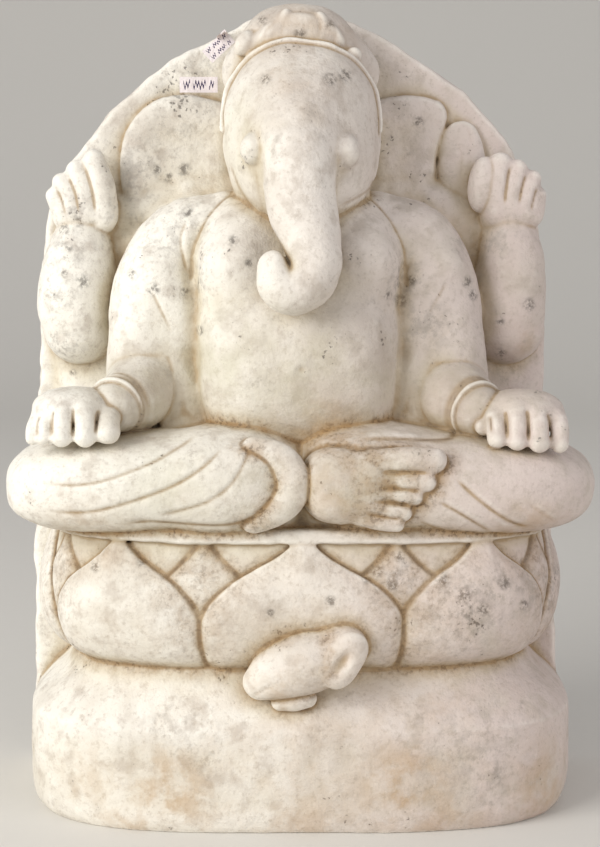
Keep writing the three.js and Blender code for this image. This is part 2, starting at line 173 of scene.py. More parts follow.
def outline_gap(loop, u, v):
    """Signed distance in a plane from the points (u, v) to a closed outline, below zero inside."""
    inside = np.zeros(np.broadcast(u, v).shape, bool)
    gap = np.full(inside.shape, 1e6, np.float32)
    for a, b in zip(loop, np.roll(loop, -1, axis=0)):
        along = b - a
        share = np.clip(((u - a[0]) * along[0] + (v - a[1]) * along[1]) / max(along @ along, 1e-9), 0, 1)
        gap = np.minimum(gap, (u - a[0] - share * along[0]) ** 2 + (v - a[1] - share * along[1]) ** 2)
        crosses = (a[1] > v) != (b[1] > v)
        rise = along[1] if abs(along[1]) > 1e-9 else 1e-9
        inside ^= crosses & (u < a[0] + (v - a[1]) * along[0] / rise)
    return np.where(inside, -1, 1) * np.sqrt(gap)


def path_gap(path, x, z):
    """Distance in the front plane to a line, and how far along it the nearest point is, 0 to 1."""
    best = np.full(np.broadcast(x, z).shape, 1e6, np.float32)
    along_it = np.zeros(best.shape, np.float32)
    for i, (a, b) in enumerate(zip(path, path[1:])):
        along = b - a
        share = np.clip(((x - a[0]) * along[0] + (z - a[1]) * along[1]) / max(along @ along, 1e-9), 0, 1)
        gap = (x - a[0] - share * along[0]) ** 2 + (z - a[1] - share * along[1]) ** 2
        closer = gap < best
        best = np.where(closer, gap, best)
        along_it = np.where(closer, (i + share) / (len(path) - 1), along_it)
    return np.sqrt(best), along_it


def lumps(w, wavelength, seed):
    """Smooth noise between about -1 and 1, with lumps of the given size."""
    rng = np.random.default_rng(seed)
    weights = []
    for k, coordinates in enumerate((w.x.ravel(), w.y.ravel(), w.z.ravel())):
        place = (coordinates - START[k]) / wavelength
        cell = place.astype(int)
        t = place - cell
        t = t * t * t * (t * (6 * t - 15) + 10)
        count = cell.max() + 2
        row = np.zeros((len(place), count), np.float32)
        row[np.arange(len(place)), cell] = 1 - t
        row[np.arange(len(place)), cell + 1] = t
        weights.append(row)
    made = rng.uniform(-1, 1, [row.shape[1] for row in weights]).astype(np.float32)
    for k, row in enumerate(weights):
        made = np.moveaxis(np.tensordot(row, made, (1, k)), 0, k)
    return made


def carve(node, shape, blend=2.0, margin=14.0):
    """Puts a node's shape into the stone. shape(window) is its distance; blend is its fillet."""
    low, high = BOX[node]
    w = Window(low - margin, high + margin)
    gap = np.broadcast_to(shape(w), field[w.cut].shape).astype(np.float32)
    fillet = blend(w) if callable(blend) else blend
    field[w.cut] = join(field[w.cut], gap, fillet)
    closer = gap < nearest[w.cut]
    next_best = gap < second[w.cut]
    runner_up[w.cut] = np.where(
        closer, owner[w.cut], np.where(next_best, NUMBER[node], runner_up[w.cut])
    )
    second[w.cut] = np.where(closer, nearest[w.cut], np.minimum(second[w.cut], gap))
    owner[w.cut] = np.where(closer, NUMBER[node], owner[w.cut])
    nearest[w.cut] = np.minimum(nearest[w.cut], gap)


def carve_pillow(node, share, radii, blend, power=2.0, tilt=0.0):
    """Carves a node that is one pillow, centred at this share of its box."""
    carve(node, lambda w: pillow(w, at(node, *share), radii, power, tilt), blend)


def carve_limb(node, stations, blend, flat=1.0):
    """Carves a node that is one limb."""
    carve(node, lambda w: limb(w, stations, flat), blend)


def engrave(node, path, width, depth, lip=0.0):
    """Cuts a line into the front of a node. lip raises the side that lies to the line's left."""
    path = smooth(path, 5)
    reach = 3.5 * width
    low, high = BOX[node]
    w = Window(
        (path[:, 0].min() - reach, low[1] - 14, path[:, 1].min() - reach),
        (path[:, 0].max() + reach, high[1], path[:, 1].max() + reach),
    )
    gap, along = path_gap(path, w.x, w.z)
    fade = np.clip(np.minimum(along, 1 - along) * 6, 0, 1)
    cut = depth * np.exp(-((gap / width) ** 2)) * fade
    if lip:
        i = np.clip((along * (len(path) - 1)).astype(int), 0, len(path) - 2)
        ahead = path[i + 1] - path[i]
        left = ahead[..., 0] * (w.z - path[i][..., 1]) - ahead[..., 1] * (w.x - path[i][..., 0]) > 0
        cut = cut - lip * left * (gap / width) * np.exp(1 - gap / width) * fade
    mine = owner[w.cut] == NUMBER[node]
    field[w.cut] += cut * mine
    grime = min(depth / 1.6, 1.0) * np.exp(-((gap / (0.8 * width)) ** 2)) * fade
    carved[w.cut] = np.maximum(carved[w.cut], grime * mine)


def dent(node, share, radii, depth):
    """Presses a soft hollow into a node, or raises a soft bump where depth is below zero."""
    centre = at(node, *share)
    reach = 2.2 * np.array(radii)
    w = Window(centre - reach, centre + reach)
    spread = sum(((v - c) / r) ** 2 for v, c, r in zip((w.x, w.y, w.z), centre, radii))
    field[w.cut] += depth * np.exp(-spread)


# ---------------------------------------------------------------- base

SLAB_FRONT = BOX["back_slab"][0][1]
PLAN_POWER = 3.5
PLAN = (BOX["plinth"][1][0], SLAB_FRONT - BOX["plinth"][0][1])  # half width, depth
BASE_TOP = BOX["plinth"][1][2]
LOTUS_TOP = BOX["lotus_core"][1][2]
SEAT_TOP = BOX["seat_board"][1][2]


def moulding(w, rings):
    """Distance to a rounded-box plan that swells and narrows with height: (share, z) rings."""
    rings = smooth(rings, 6)
    x = np.abs(w.x) / PLAN[0]
    y = np.maximum(SLAB_FRONT - w.y, 0) / PLAN[1]
    share = np.maximum((x**PLAN_POWER + y**PLAN_POWER) ** (1 / PLAN_POWER), 0.05)
    slope = np.hypot(x ** (PLAN_POWER - 1) / PLAN[0], y ** (PLAN_POWER - 1) / PLAN[1])
    slope = np.maximum(slope * share ** (1 - PLAN_POWER), 0.5 / PLAN[0])
    return (share - np.interp(w.z, rings[:, 1], rings[:, 0])) / slope


def between(w, side, low, high, blend=3.0):
    """Cuts a distance off flat at two heights, with rounded edges."""
    return meet(meet(side, w.z - high, blend), low - w.z, blend)


RIDGE = 0.67 * BASE_TOP  # the soft edge round the plinth where its slope starts
PLINTH_RINGS = [
    (0.962, 0), (0.982, 5), (0.996, 16), (1.0, 40), (0.994, RIDGE - 6), (0.985, RIDGE + 1),
    (0.93, RIDGE + 13), (0.87, RIDGE + 24), (0.835, BASE_TOP), (0.83, BASE_TOP + 12),
]
LOTUS_RINGS = [
    (0.80, BASE_TOP - 8), (0.83, BASE_TOP + 1), (0.895, BASE_TOP + 11), (0.938, BASE_TOP + 27),
    (0.952, BASE_TOP + 46), (0.948, BASE_TOP + 62), (0.93, LOTUS_TOP - 8), (0.915, LOTUS_TOP + 4),
]
SEAT_RINGS = [(0.91, LOTUS_TOP - 6), (0.915, LOTUS_TOP), (0.91, LOTUS_TOP + 5), (0.89, SEAT_TOP + 4)]

CORE_INSET = 8.0  # the lotus lies this far behind its petals' swell
PETAL_ROOT = BASE_TOP - 2
PETAL_BACK = 12  # each petal stops this far short of the lotus's middle
PUFF_REACH = 26  # how far in from its rim a petal goes on swelling
# node: the way it faces in degrees from the front, shift along its face, half width, inset of its
# rim, and how far its middle swells out over the rim
PETALS = {
    "petal_front": (0, 2, 71, 3.5, 6.0),
    "petal_corner_right": (-42, -18, 53, 3.8, 6.0),
    "petal_corner_left": (42, 18, 53, 3.8, 6.0),
    "petal_side_right": (-90, 34, 44, 4.4, 6.0),
    "petal_side_left": (90, -34, 44, 4.4, 6.0),
    "petal_inner_right": (-27, -4, 40, 7.0, 2.4),
    "petal_inner_left": (27, 4, 40, 7.0, 2.4),
    "petal_inner_side_right": (-66, 4, 40, 7.2, 2.4),
    "petal_inner_side_left": (66, -4, 40, 7.2, 2.4),
}


def petal_outline(half_width):
    """A petal with square shoulders and an ogee tip, from its root up and back."""
    tip = LOTUS_TOP + 5
    side = [
        (0.86, PETAL_ROOT - 6), (0.95, PETAL_ROOT + 3), (1.0, PETAL_ROOT + 18), (0.99, PETAL_ROOT + 34),
        (0.9, PETAL_ROOT + 50), (0.72, PETAL_ROOT + 62), (0.5, PETAL_ROOT + 71), (0.3, tip - 17),
        (0.13, tip - 8), (0.0, tip),
    ]
    right = smooth([(half_width * share, z) for share, z in side], 3)
    return np.vstack([right, right[-2::-1] * (-1, 1)])


def petal(w, node):
    """A petal is cut from the lotus moulding by its outline, and puffs out over its rim."""
    turn, shift, half_width, inset, puff = PETALS[node]
    c, s = cos(radians(turn)), sin(radians(turn))
    along = w.x * c + (w.y - SLAB_FRONT) * s - shift
    behind = (w.y - SLAB_FRONT) * c - w.x * s + PETAL_BACK
    table_u = np.arange(-half_width - 40, half_width + 40, 1.0)
    table_z = w.z.ravel()
    table = outline_gap(petal_outline(half_width), table_u[:, None], table_z[None, :])
    place = np.clip(along - table_u[0], 0, len(table_u) - 2.001)[:, :, 0]
    row = place.astype(int)
    part = (place - row)[..., None]
    rim = table[row] * (1 - part) + table[row + 1] * part
    rise = puff * (1 - (1 - np.clip(-rim / PUFF_REACH, 0, 1)) ** 2) - inset
    side = meet(moulding(w, LOTUS_RINGS) - rise, rim, 2.0)
    return between(w, np.maximum(side, behind), PETAL_ROOT, LOTUS_TOP, 2.5)


# The relief's ground stands forward of the slab, round the head and behind the body.
GROUND = (
    (at("back_slab", 0.5, 0, 0.585), (174, 19, 118), 3.0),
    (at("back_slab", 0.5, 0, 0.55), (106, 50, 112), 3.0),
)
# It stands nearly flush with the figure between each arm and the belly. A strip's stations are
# its reach from the middle, depth and height as shares of the slab's box, and its radius.
STRIP_STATIONS = (
    (0.215, -0.95, 0.69, 15), (0.215, -1.2, 0.6, 16), (0.215, -1.45, 0.53, 16), (0.2, -1.55, 0.44, 20),
)
GROUND_STRIPS = [
    strand("back_slab", *((0.5 + side * reach, *rest) for reach, *rest in STRIP_STATIONS))
    for side in (-1, 1)
]
# The slab's outline, as shares of its box: height, then reach from the middle on either side.
SLAB_EDGE = (
    (1.0, 0.0, 0.0), (0.991, 0.083, 0.083), (0.968, 0.149, 0.152), (0.942, 0.224, 0.212),
    (0.917, 0.28, 0.267), (0.892, 0.318, 0.318), (0.867, 0.358, 0.347), (0.842, 0.384, 0.378),
    (0.813, 0.42, 0.407), (0.784, 0.446, 0.427), (0.737, 0.469, 0.443), (0.705, 0.477, 0.448),
    (0.612, 0.487, 0.453), (0.54, 0.487, 0.456), (0.34, 0.5, 0.48), (0.18, 0.508, 0.492),
    (-0.03, 0.503, 0.497),
)


def slab(w):
    """The back slab, with uneven edges and a rough-sawn back, and the ground of the relief on it."""
    high = BOX["back_slab"][1]
    left = [at("back_slab", 0.5 - reach, 0, up)[::2] for up, reach, _ in SLAB_EDGE[::-1]]
    right = [at("back_slab", 0.5 + reach, 0, up)[::2] for up, _, reach in SLAB_EDGE[1:]]
    rough = 1.6 * lumps(w, 34, 5) + 1.0 * lumps(w, 13, 6)
    edge = outline_gap(smooth(left + right, 3), w.x, w.z) + rough
    face = SLAB_FRONT + 0.7 * lumps(w, 22, 7)
    back = high[1] - 1.2 + 1.0 * lumps(w, 18, 8) + 0.5 * lumps(w, 7, 9)
    ground = join(*(pillow(w, *shape) for shape in GROUND), 16)
    for strip in GROUND_STRIPS:
        ground = join(ground, limb(w, strip), 14)
    ground = ground + 1.2 * lumps(w, 16, 10)
    front = join(meet(edge, face - w.y, 5.0), meet(ground, edge, 4), 10)
    return meet(front, w.y - back, 3.5)


carve("back_slab", slab, margin=75.0)
carve("plinth", lambda w: between(w, moulding(w, PLINTH_RINGS), -20, BASE_TOP + 3, 5.0), 4.0)
carve("lotus_core", lambda w: between(w, moulding(w, LOTUS_RINGS) + CORE_INSET, BASE_TOP, LOTUS_TOP), 3.0)
for name in PETALS:
    carve(name, lambda w, name=name: petal(w, name), 1.2, margin=45.0)
carve("seat_board", lambda w: between(w, moulding(w, SEAT_RINGS) + 1, LOTUS_TOP, SEAT_TOP, 3.5), 4.5)

# ---------------------------------------------------------------- mouse

MOUSE_BACK = strand("mouse_body",
    (0.2, 0.48, 0.22, 12), (0.38, 0.46, 0.38, 18.5), (0.61, 0.46, 0.52, 22), (0.81, 0.48, 0.61, 20),
)
MOUSE_FACE = at("mouse_head", 0.5, 0.53, 0.5)
MOUSE_EAR = at("mouse_head", 0.57, 0.12, 0.36)
MOUSE_PAW = strand("mouse_paw", (0.22, 0.53, 0.34, 6.5), (0.52, 0.46, 0.44, 7.5), (0.81, 0.53, 0.53, 7))


def mouse_head(w):
    """A round head with one large ear, cupped in front."""
    skull = pillow(w, MOUSE_FACE, (19, 18, 17), 2.2, -0.5)
    lug = pillow(w, MOUSE_EAR, (12, 8, 21), 2.2, 0.5)
    hollow = pillow(w, MOUSE_EAR + (-3, -9, -1.5), (3.4, 5.5, 10), 2.0, 0.6)
    return meet(join(skull, lug, 7), -hollow, 4)


carve_limb("mouse_body", MOUSE_BACK, 3.0)
carve("mouse_head", mouse_head, 4.0)
carve_limb("mouse_paw", MOUSE_PAW, 2.0)

# ---------------------------------------------------------------- legs

KNEE_DROOP = 0.045  # how far the knees turn down, in radians
# The folded shins swell out in front of the thighs: centre and radii.
SHINS = {
    "leg_right": (at("leg_right", 0.8, 0.29, 0.52), (43, 42, 33)),
    "leg_left": (at("leg_left", 0.2, 0.32, 0.55), (43, 40, 33)),
}
# The stone is left standing between the two shins, from the belly down to the seat.
LAP = (
    (at("leg_right", 1.0, 0.42, 0.46), (34, 36, 25), 2.4),
    (at("leg_right", 1.0, 0.44, 0.18), (34, 32, 17), 2.4),
)


def leg(w, node):
    """One folded leg, and its share of the stone between the shins."""
    low, high = BOX[node]
    side = 1 if node == "leg_left" else -1
    thigh = pillow(w, (low + high) / 2, (high - low) / 2 - (0, 0, 1), 2.8, side * KNEE_DROOP)
    shin = pillow(w, *SHINS[node], 2.5)
    made = join(thigh, shin, 16)
    for fill in LAP:
        made = join(made, pillow(w, *fill), 12)
    return made


for name in SHINS:
    carve(name, lambda w, name=name: leg(w, name), 3.0)

HEM = strand("hem_roll",
    (0.42, 0.6, 0.86, 9), (0.68, 0.5, 0.8, 10.5), (0.83, 0.38, 0.67, 11.5), (0.88, 0.34, 0.54, 12),
    (0.82, 0.34, 0.4, 11.5), (0.64, 0.38, 0.27, 10.5), (0.42, 0.5, 0.18, 9),
)
carve_limb("hem_roll", HEM, 3.0, 1.4)


def fan(node, *rows):
    """The toes or fingers of a node: a strand for each row of stations, from root to tip."""
    return [strand(node, *row) for row in rows]


# Toes and fingers, side by side. Thin grooves are cut between them below.
DIGITS = {
    "folded_foot": fan("folded_foot",
        ((0.49, 0.28, 0.79, 9.2), (0.7, 0.2, 0.81, 9.2), (0.89, 0.19, 0.81, 9)),
        ((0.52, 0.25, 0.58, 7.3), (0.7, 0.17, 0.57, 7.3), (0.84, 0.16, 0.56, 7.1)),
        ((0.47, 0.23, 0.43, 6.4), (0.64, 0.17, 0.41, 6.4), (0.76, 0.16, 0.38, 6.2)),
        ((0.43, 0.23, 0.27, 5.8), (0.58, 0.17, 0.23, 5.8), (0.69, 0.16, 0.2, 5.6)),
        ((0.39, 0.25, 0.13, 5.4), (0.53, 0.21, 0.07, 5.2), (0.64, 0.21, 0.05, 5)),
    ),
}


def with_digits(w, palm, node):
    """A palm or a foot joined to its digits."""
    for stations in DIGITS[node]:
        palm = join(palm, limb(w, stations), 4.0)
    return palm


def folded_foot(w):
    """The foot that lies on the other leg, sole to the front."""
    sole = pillow(w, at("folded_foot", 0.35, 0.51, 0.5), (34, 27, 26.5), 2.6)
    heel = pillow(w, at("folded_foot", 0.21, 0.47, 0.47), (21, 24, 23), 2.3)
    return with_digits(w, join(sole, heel, 8), "folded_foot")


carve("folded_foot", folded_foot, 2.0)

# ---------------------------------------------------------------- body

TORSO = {
    "belly": (at("torso", 0.49, 0.54, 0.305), (70, 59, 61), 3.0),
    "chest": (at("torso", 0.49, 0.65, 0.652), (69, 46, 62), 3.0),
    "breast_right": (at("torso", 0.22, 0.36, 0.726), (27, 27, 29), 2.0),
    "breast_left": (at("torso", 0.78, 0.36, 0.726), (26, 27, 29), 2.0),
}


def torso(w):
    """A round belly under a broad chest with two soft breasts."""
    body = pillow(w, *TORSO["belly"])
    body = join(body, pillow(w, *TORSO["chest"]), 22)
    for side in ("breast_right", "breast_left"):
        body = join(body, pillow(w, *TORSO[side]), 14)
    return body


carve("torso", torso, 9.0)
carve_pillow("navel", (0.5, 0.75, 0.5), (8.5, 5, 8.5), 4.0)

ARMS = {
    "upper_arm_right": strand("upper_arm_right",
        (0.91, 0.65, 0.85, 24), (0.56, 0.61, 0.77, 29), (0.34, 0.5, 0.56, 29),
        (0.29, 0.39, 0.35, 27), (0.26, 0.33, 0.16, 26),
    ),
    "upper_arm_left": strand("upper_arm_left",
        (0.11, 0.65, 0.85, 24), (0.43, 0.61, 0.76, 29), (0.63, 0.51, 0.56, 28),
        (0.69, 0.39, 0.35, 26), (0.73, 0.34, 0.16, 26),
    ),
    "forearm_right": strand("forearm_right",
        (0.6, 0.72, 0.53, 27), (0.49, 0.5, 0.41, 24), (0.28, 0.24, 0.32, 18),
    ),
    "forearm_left": strand("forearm_left",
        (0.44, 0.72, 0.51, 27), (0.57, 0.5, 0.42, 24), (0.76, 0.25, 0.33, 18),
    ),
    "raised_arm_right": strand("raised_arm_right",
        (0.5, 0.65, 0.24, 25), (0.46, 0.6, 0.41, 27), (0.5, 0.6, 0.62, 26), (0.58, 0.7, 0.92, 18),
    ),
    "raised_arm_left": strand("raised_arm_left",
        (0.5, 0.64, 0.25, 26), (0.52, 0.6, 0.43, 26), (0.55, 0.62, 0.65, 24), (0.52, 0.69, 0.92, 18),
    ),
}
for name, blend in (("upper_arm", 14.0), ("raised_arm", 8.0), ("forearm", 2.5)):
    for side in ("right", "left"):
        carve_limb(f"{name}_{side}", ARMS[f"{name}_{side}"], blend)

SASHES = {
    "sash_right": strand("sash_right", (0.3, 0.9, 0.85, 11), (0.55, 0.85, 0.5, 12), (0.8, 0.85, 0.1, 11)),
    "sash_left": strand("sash_left", (0.7, 0.9, 0.85, 11), (0.45, 0.85, 0.5, 12), (0.2, 0.85, 0.1, 11)),
}
for name, stations in SASHES.items():
    carve_limb(name, stations, 12.0, 1.3)

BRACELET_SHARE = 0.86  # how far down the forearm the bracelet lies
BRACELET_TUBE = 3.0
BRACELET_GAP = 2.8  # each ring's distance from the bracelet's middle
ELBOW_RADIUS, WRIST_RADIUS = 26, 17


def bracelet(w, arm):
    """Two thin rings side by side, round the wrist."""
    *elbow, _ = ARMS[arm][0]
    *wrist, _ = ARMS[arm][-1]
    along = np.array(wrist) - elbow
    reach = np.linalg.norm(along)
    x, y, z = (v - e for v, e in zip((w.x, w.y, w.z), elbow))
    down = (x * along[0] + y * along[1] + z * along[2]) / reach
    out = np.sqrt(np.maximum(x**2 + y**2 + z**2 - down**2, 0))
    radius = ELBOW_RADIUS + (WRIST_RADIUS - ELBOW_RADIUS) * BRACELET_SHARE
    rings = [
        np.hypot(out - radius, down - BRACELET_SHARE * reach - shift) - BRACELET_TUBE
        for shift in (-BRACELET_GAP, BRACELET_GAP)
    ]
    return join(*rings, 1.0)


for side in ("right", "left"):
    carve(f"bracelet_{side}", lambda w, side=side: bracelet(w, f"forearm_{side}"), 1.0)

# Each resting hand: its palm, and fingers that hang over the knee from knuckle to tip.
PALMS = {
    "hand_right": (at("hand_right", 0.47, 0.57, 0.59), (28, 24, 15), 2.3),
    "hand_left": (at("hand_left", 0.57, 0.55, 0.55), (28, 24, 16), 2.3),
}
DIGITS |= {
    "hand_right": fan("hand_right",
        ((0.11, 0.57, 0.48, 5), (0.07, 0.33, 0.35, 5), (0.07, 0.22, 0.12, 4.8)),
        ((0.23, 0.54, 0.62, 6.2), (0.2, 0.27, 0.49, 6.2), (0.2, 0.17, 0.15, 5.8)),
        ((0.4, 0.5, 0.7, 7.8), (0.39, 0.22, 0.56, 7.8), (0.39, 0.12, 0.17, 7.5)),
        ((0.62, 0.5, 0.7, 7.8), (0.62, 0.22, 0.56, 7.8), (0.62, 0.12, 0.17, 7.5)),
        ((0.89, 0.61, 0.6, 8), (0.86, 0.33, 0.45, 8.4), (0.86, 0.17, 0.23, 8.2)),
    ),
    "hand_left": fan("hand_left",
        ((0.14, 0.6, 0.5, 8.5), (0.14, 0.48, 0.42, 8), (0.15, 0.36, 0.34, 7.5)),
        ((0.25, 0.53, 0.6, 7.2), (0.26, 0.24, 0.47, 7.2), (0.27, 0.12, 0.13, 6.8)),
        ((0.45, 0.48, 0.69, 7.4), (0.47, 0.18, 0.55, 7.4), (0.47, 0.08, 0.1, 7)),
        ((0.67, 0.48, 0.66, 7.8), (0.69, 0.18, 0.52, 7.8), (0.7, 0.08, 0.08, 7.4)),
        ((0.87, 0.53, 0.58, 7), (0.91, 0.24, 0.41, 7), (0.92, 0.14, 0.03, 6.6)),
    ),
}


def hand(w, node):
    """A hand: its palm and its fingers."""
    return with_digits(w, pillow(w, *PALMS[node]), node)


for name in ("hand_right", "hand_left"):
    carve(name, lambda w, name=name: hand(w, name), 2.0)

# The raised hands, with their fingers up.
PALMS |= {
    "raised_hand_right": (at("raised_hand_right", 0.54, 0.57, 0.26), (22, 18, 18), 2.4),
    "raised_hand_left": (at("raised_hand_left", 0.53, 0.56, 0.3), (22, 18, 17), 2.4),
}
DIGITS["raised_hand_right"] = fan("raised_hand_right",
    ((0.83, 0.24, 0.22, 9), (0.79, 0.24, 0.54, 9.5), (0.67, 0.34, 0.9, 8)),
    ((0.58, 0.24, 0.26, 8.5), (0.52, 0.27, 0.54, 8.5), (0.41, 0.37, 0.78, 7.4)),
    ((0.35, 0.31, 0.24, 7.5), (0.29, 0.34, 0.47, 7.5), (0.18, 0.4, 0.64, 6.6)),
    ((0.18, 0.37, 0.19, 6.5), (0.12, 0.4, 0.35, 6.5), (0.06, 0.44, 0.47, 6)),
)
DIGITS["raised_hand_left"] = fan("raised_hand_left",
    ((0.29, 0.26, 0.33, 8.6), (0.31, 0.26, 0.61, 9), (0.35, 0.33, 0.87, 8.4)),
    ((0.5, 0.26, 0.37, 8), (0.55, 0.3, 0.61, 8.2), (0.61, 0.36, 0.8, 7.4)),
    ((0.72, 0.3, 0.31, 7.4), (0.79, 0.33, 0.54, 7.4), (0.86, 0.4, 0.68, 6.6)),
    ((0.88, 0.36, 0.23, 6.4), (0.92, 0.4, 0.37, 6.4), (0.96, 0.43, 0.49, 6)),
)
for name in ("raised_hand_right", "raised_hand_left"):
    carve(name, lambda w, name=name: hand(w, name), 3.0)
carve_pillow("raised_thumb_left", (0.5, 0.55, 0.45), (11, 12, 20), 4.0, 2.2, 0.12)
carve_pillow("held_bud_left", (0.5, 0.88, 0.5), (17.5, 7.5, 36), 2.0, 2.3, -0.06)

# ---------------------------------------------------------------- head

HEAD = (at("head", 0.5, 0.61, 0.52), np.array((54.5, 56, 66)), 2.15)
FACE = (at("head", 0.5, 0.35, 0.39), np.array((41, 40, 44)), 2.2)
# The ears' outlines in the front plane.
EARS = {
    "ear_right": line("ear_right",
        (1.02, 0.9), (0.83, 0.95), (0.62, 0.99), (0.38, 0.98), (0.15, 0.84), (0.04, 0.64),
        (0.02, 0.38), (0.11, 0.15), (0.47, 0), (0.95, 0),
    ),
    "ear_left": line("ear_left",
        (-0.04, 0.93), (0.25, 0.98), (0.57, 1), (0.91, 0.96), (1.02, 0.84), (0.91, 0.63),
        (0.86, 0.4), (0.89, 0.17), (0.57, 0.02), (0.04, 0),
    ),
}


EAR_EDGE = 4.5  # how far an ear's edge stands forward of its box's back
EAR_SWELL, SWELL_REACH = 4.5, 10  # its rise inside the edge, and how far in that goes on
EAR_SINK, SINK_REACH = 2.2, 30  # its fall inside the rim, and how far in that goes on


def ear(w, node):
    """A flat ear with a raised rim, lying on the slab."""
    rim = outline_gap(smooth(EARS[node], 3), w.x, w.z)
    _, high = BOX[node]
    swell = EAR_SWELL * np.clip(-rim / SWELL_REACH, 0, 1) ** 0.5
    swell = swell - EAR_SINK * np.clip(-rim / SINK_REACH, 0, 1) ** 2
    return meet(rim, high[1] - EAR_EDGE - swell - w.y, 3.0)


for name in EARS:
    carve(name, lambda w, name=name: ear(w, name), 2.5)


def head(w):
    """A round skull that runs into the face behind the trunk's root."""
    return join(pillow(w, *HEAD), pillow(w, *FACE), 18)


carve("head", head, 4.0)


def front_of(shape, x, z):
    """The depth of a pillow's front at this place."""
    centre, radii, power = shape
    left = 1 - (abs(x - centre[0]) / radii[0]) ** power - (abs(z - centre[2]) / radii[2]) ** power
    return centre[1] - radii[1] * max(left, 0) ** (1 / power)


BAND_RADIUS = 3.0
BAND_SINK = 0.4  # how deep the band's middle lies in the forehead
band_line = line("forehead_band",
    (1.0, 0), (0.99, 0.26), (0.95, 0.51), (0.85, 0.76), (0.71, 0.91), (0.55, 0.98), (0.37, 0.98),
    (0.19, 0.84), (0.06, 0.6), (0.01, 0.33), (0, 0.03),
)
BAND = np.array([(x, front_of(HEAD, x, z) + BAND_SINK, z, BAND_RADIUS) for x, z in band_line])
carve_limb("forehead_band", BAND, 2.0)

CROWN_DOME = (at("crown", 0.49, 0.56, 0.36), (41, 31, 30.5), 2.1)
CROWN_BRIM = (at("crown", 0.5, 0.62, 0.02), (55, 22, 27), 2.3)
CROWN_LEAVES = (
    # place across and up the crown, radii in the front plane, tilt
    ((0.16, 0.36), (4, 9), 0.5),
    ((0.27, 0.55), (4, 8), 0.8),
    ((0.38, 0.72), (4, 8), 0.35),
    ((0.67, 0.68), (4, 8), -0.4),
    ((0.77, 0.5), (4, 9), -0.6),
    ((0.87, 0.3), (4, 8), -0.45),
)


def crown(w):
    """A low domed crown with worn leaves round its front."""
    cap = join(pillow(w, *CROWN_DOME), pillow(w, *CROWN_BRIM), 12)
    for (across, height), (wide, tall), tilt in CROWN_LEAVES:
        x, _, z = at("crown", across, 0, height)
        front = min(front_of(CROWN_DOME, x, z), front_of(CROWN_BRIM, x, z))
        cap = join(cap, pillow(w, (x, front + 2, z), (wide, 4.5, tall), 2.0, tilt), 3)
    return cap


carve("crown", crown, 3.0)
carve_pillow("crown_crest", (0.5, 0.85, 0.5), (16, 6, 8), 3.5, 2.2)
carve_pillow("crown_rosette_right", (0.5, 0.9, 0.5), (6, 7, 9), 3.0, 2.0, 0.6)
carve_pillow("crown_rosette_left", (0.5, 0.75, 0.5), (5.5, 6, 6), 2.5)

TRUNK = strand("trunk",
    (0.53, 0.73, 0.87, 22), (0.51, 0.5, 0.72, 25), (0.53, 0.42, 0.54, 23.5), (0.62, 0.36, 0.36, 21),
    (0.7, 0.28, 0.22, 18),
)
TRUNK_CURL = strand("trunk",
    (0.7, 0.28, 0.23, 18), (0.66, 0.21, 0.14, 16.5), (0.45, 0.18, 0.09, 15.5),
    (0.27, 0.18, 0.12, 14), (0.22, 0.21, 0.2, 11),
)


TRUNK_CREASE = 3.0  # the trunk's fillet where it lies on the chest
TRUNK_ROOT = 22.0  # how much wider its fillet is at the forehead


def trunk(w):
    """The trunk hangs down the chest and curls up to the idol's right."""
    return join(limb(w, TRUNK), limb(w, TRUNK_CURL), 2.0)


def trunk_fillet(w):
    """The trunk grows out of the forehead, and lies on the chest with a crease."""
    low, high = BOX["trunk"]
    rise = np.clip((w.z - low[2]) / (high[2] - low[2]) * 2 - 1.05, 0, 1)
    return TRUNK_CREASE + TRUNK_ROOT * rise


carve("trunk", trunk, trunk_fillet, 30.0)
carve_pillow("eye_boss_right", (0.5, 0.57, 0.5), (9.5, 11, 10.5), 3.5)
carve_pillow("eye_boss_left", (0.5, 0.57, 0.45), (10, 12, 12), 3.5)

# ---------------------------------------------------------------- carved lines

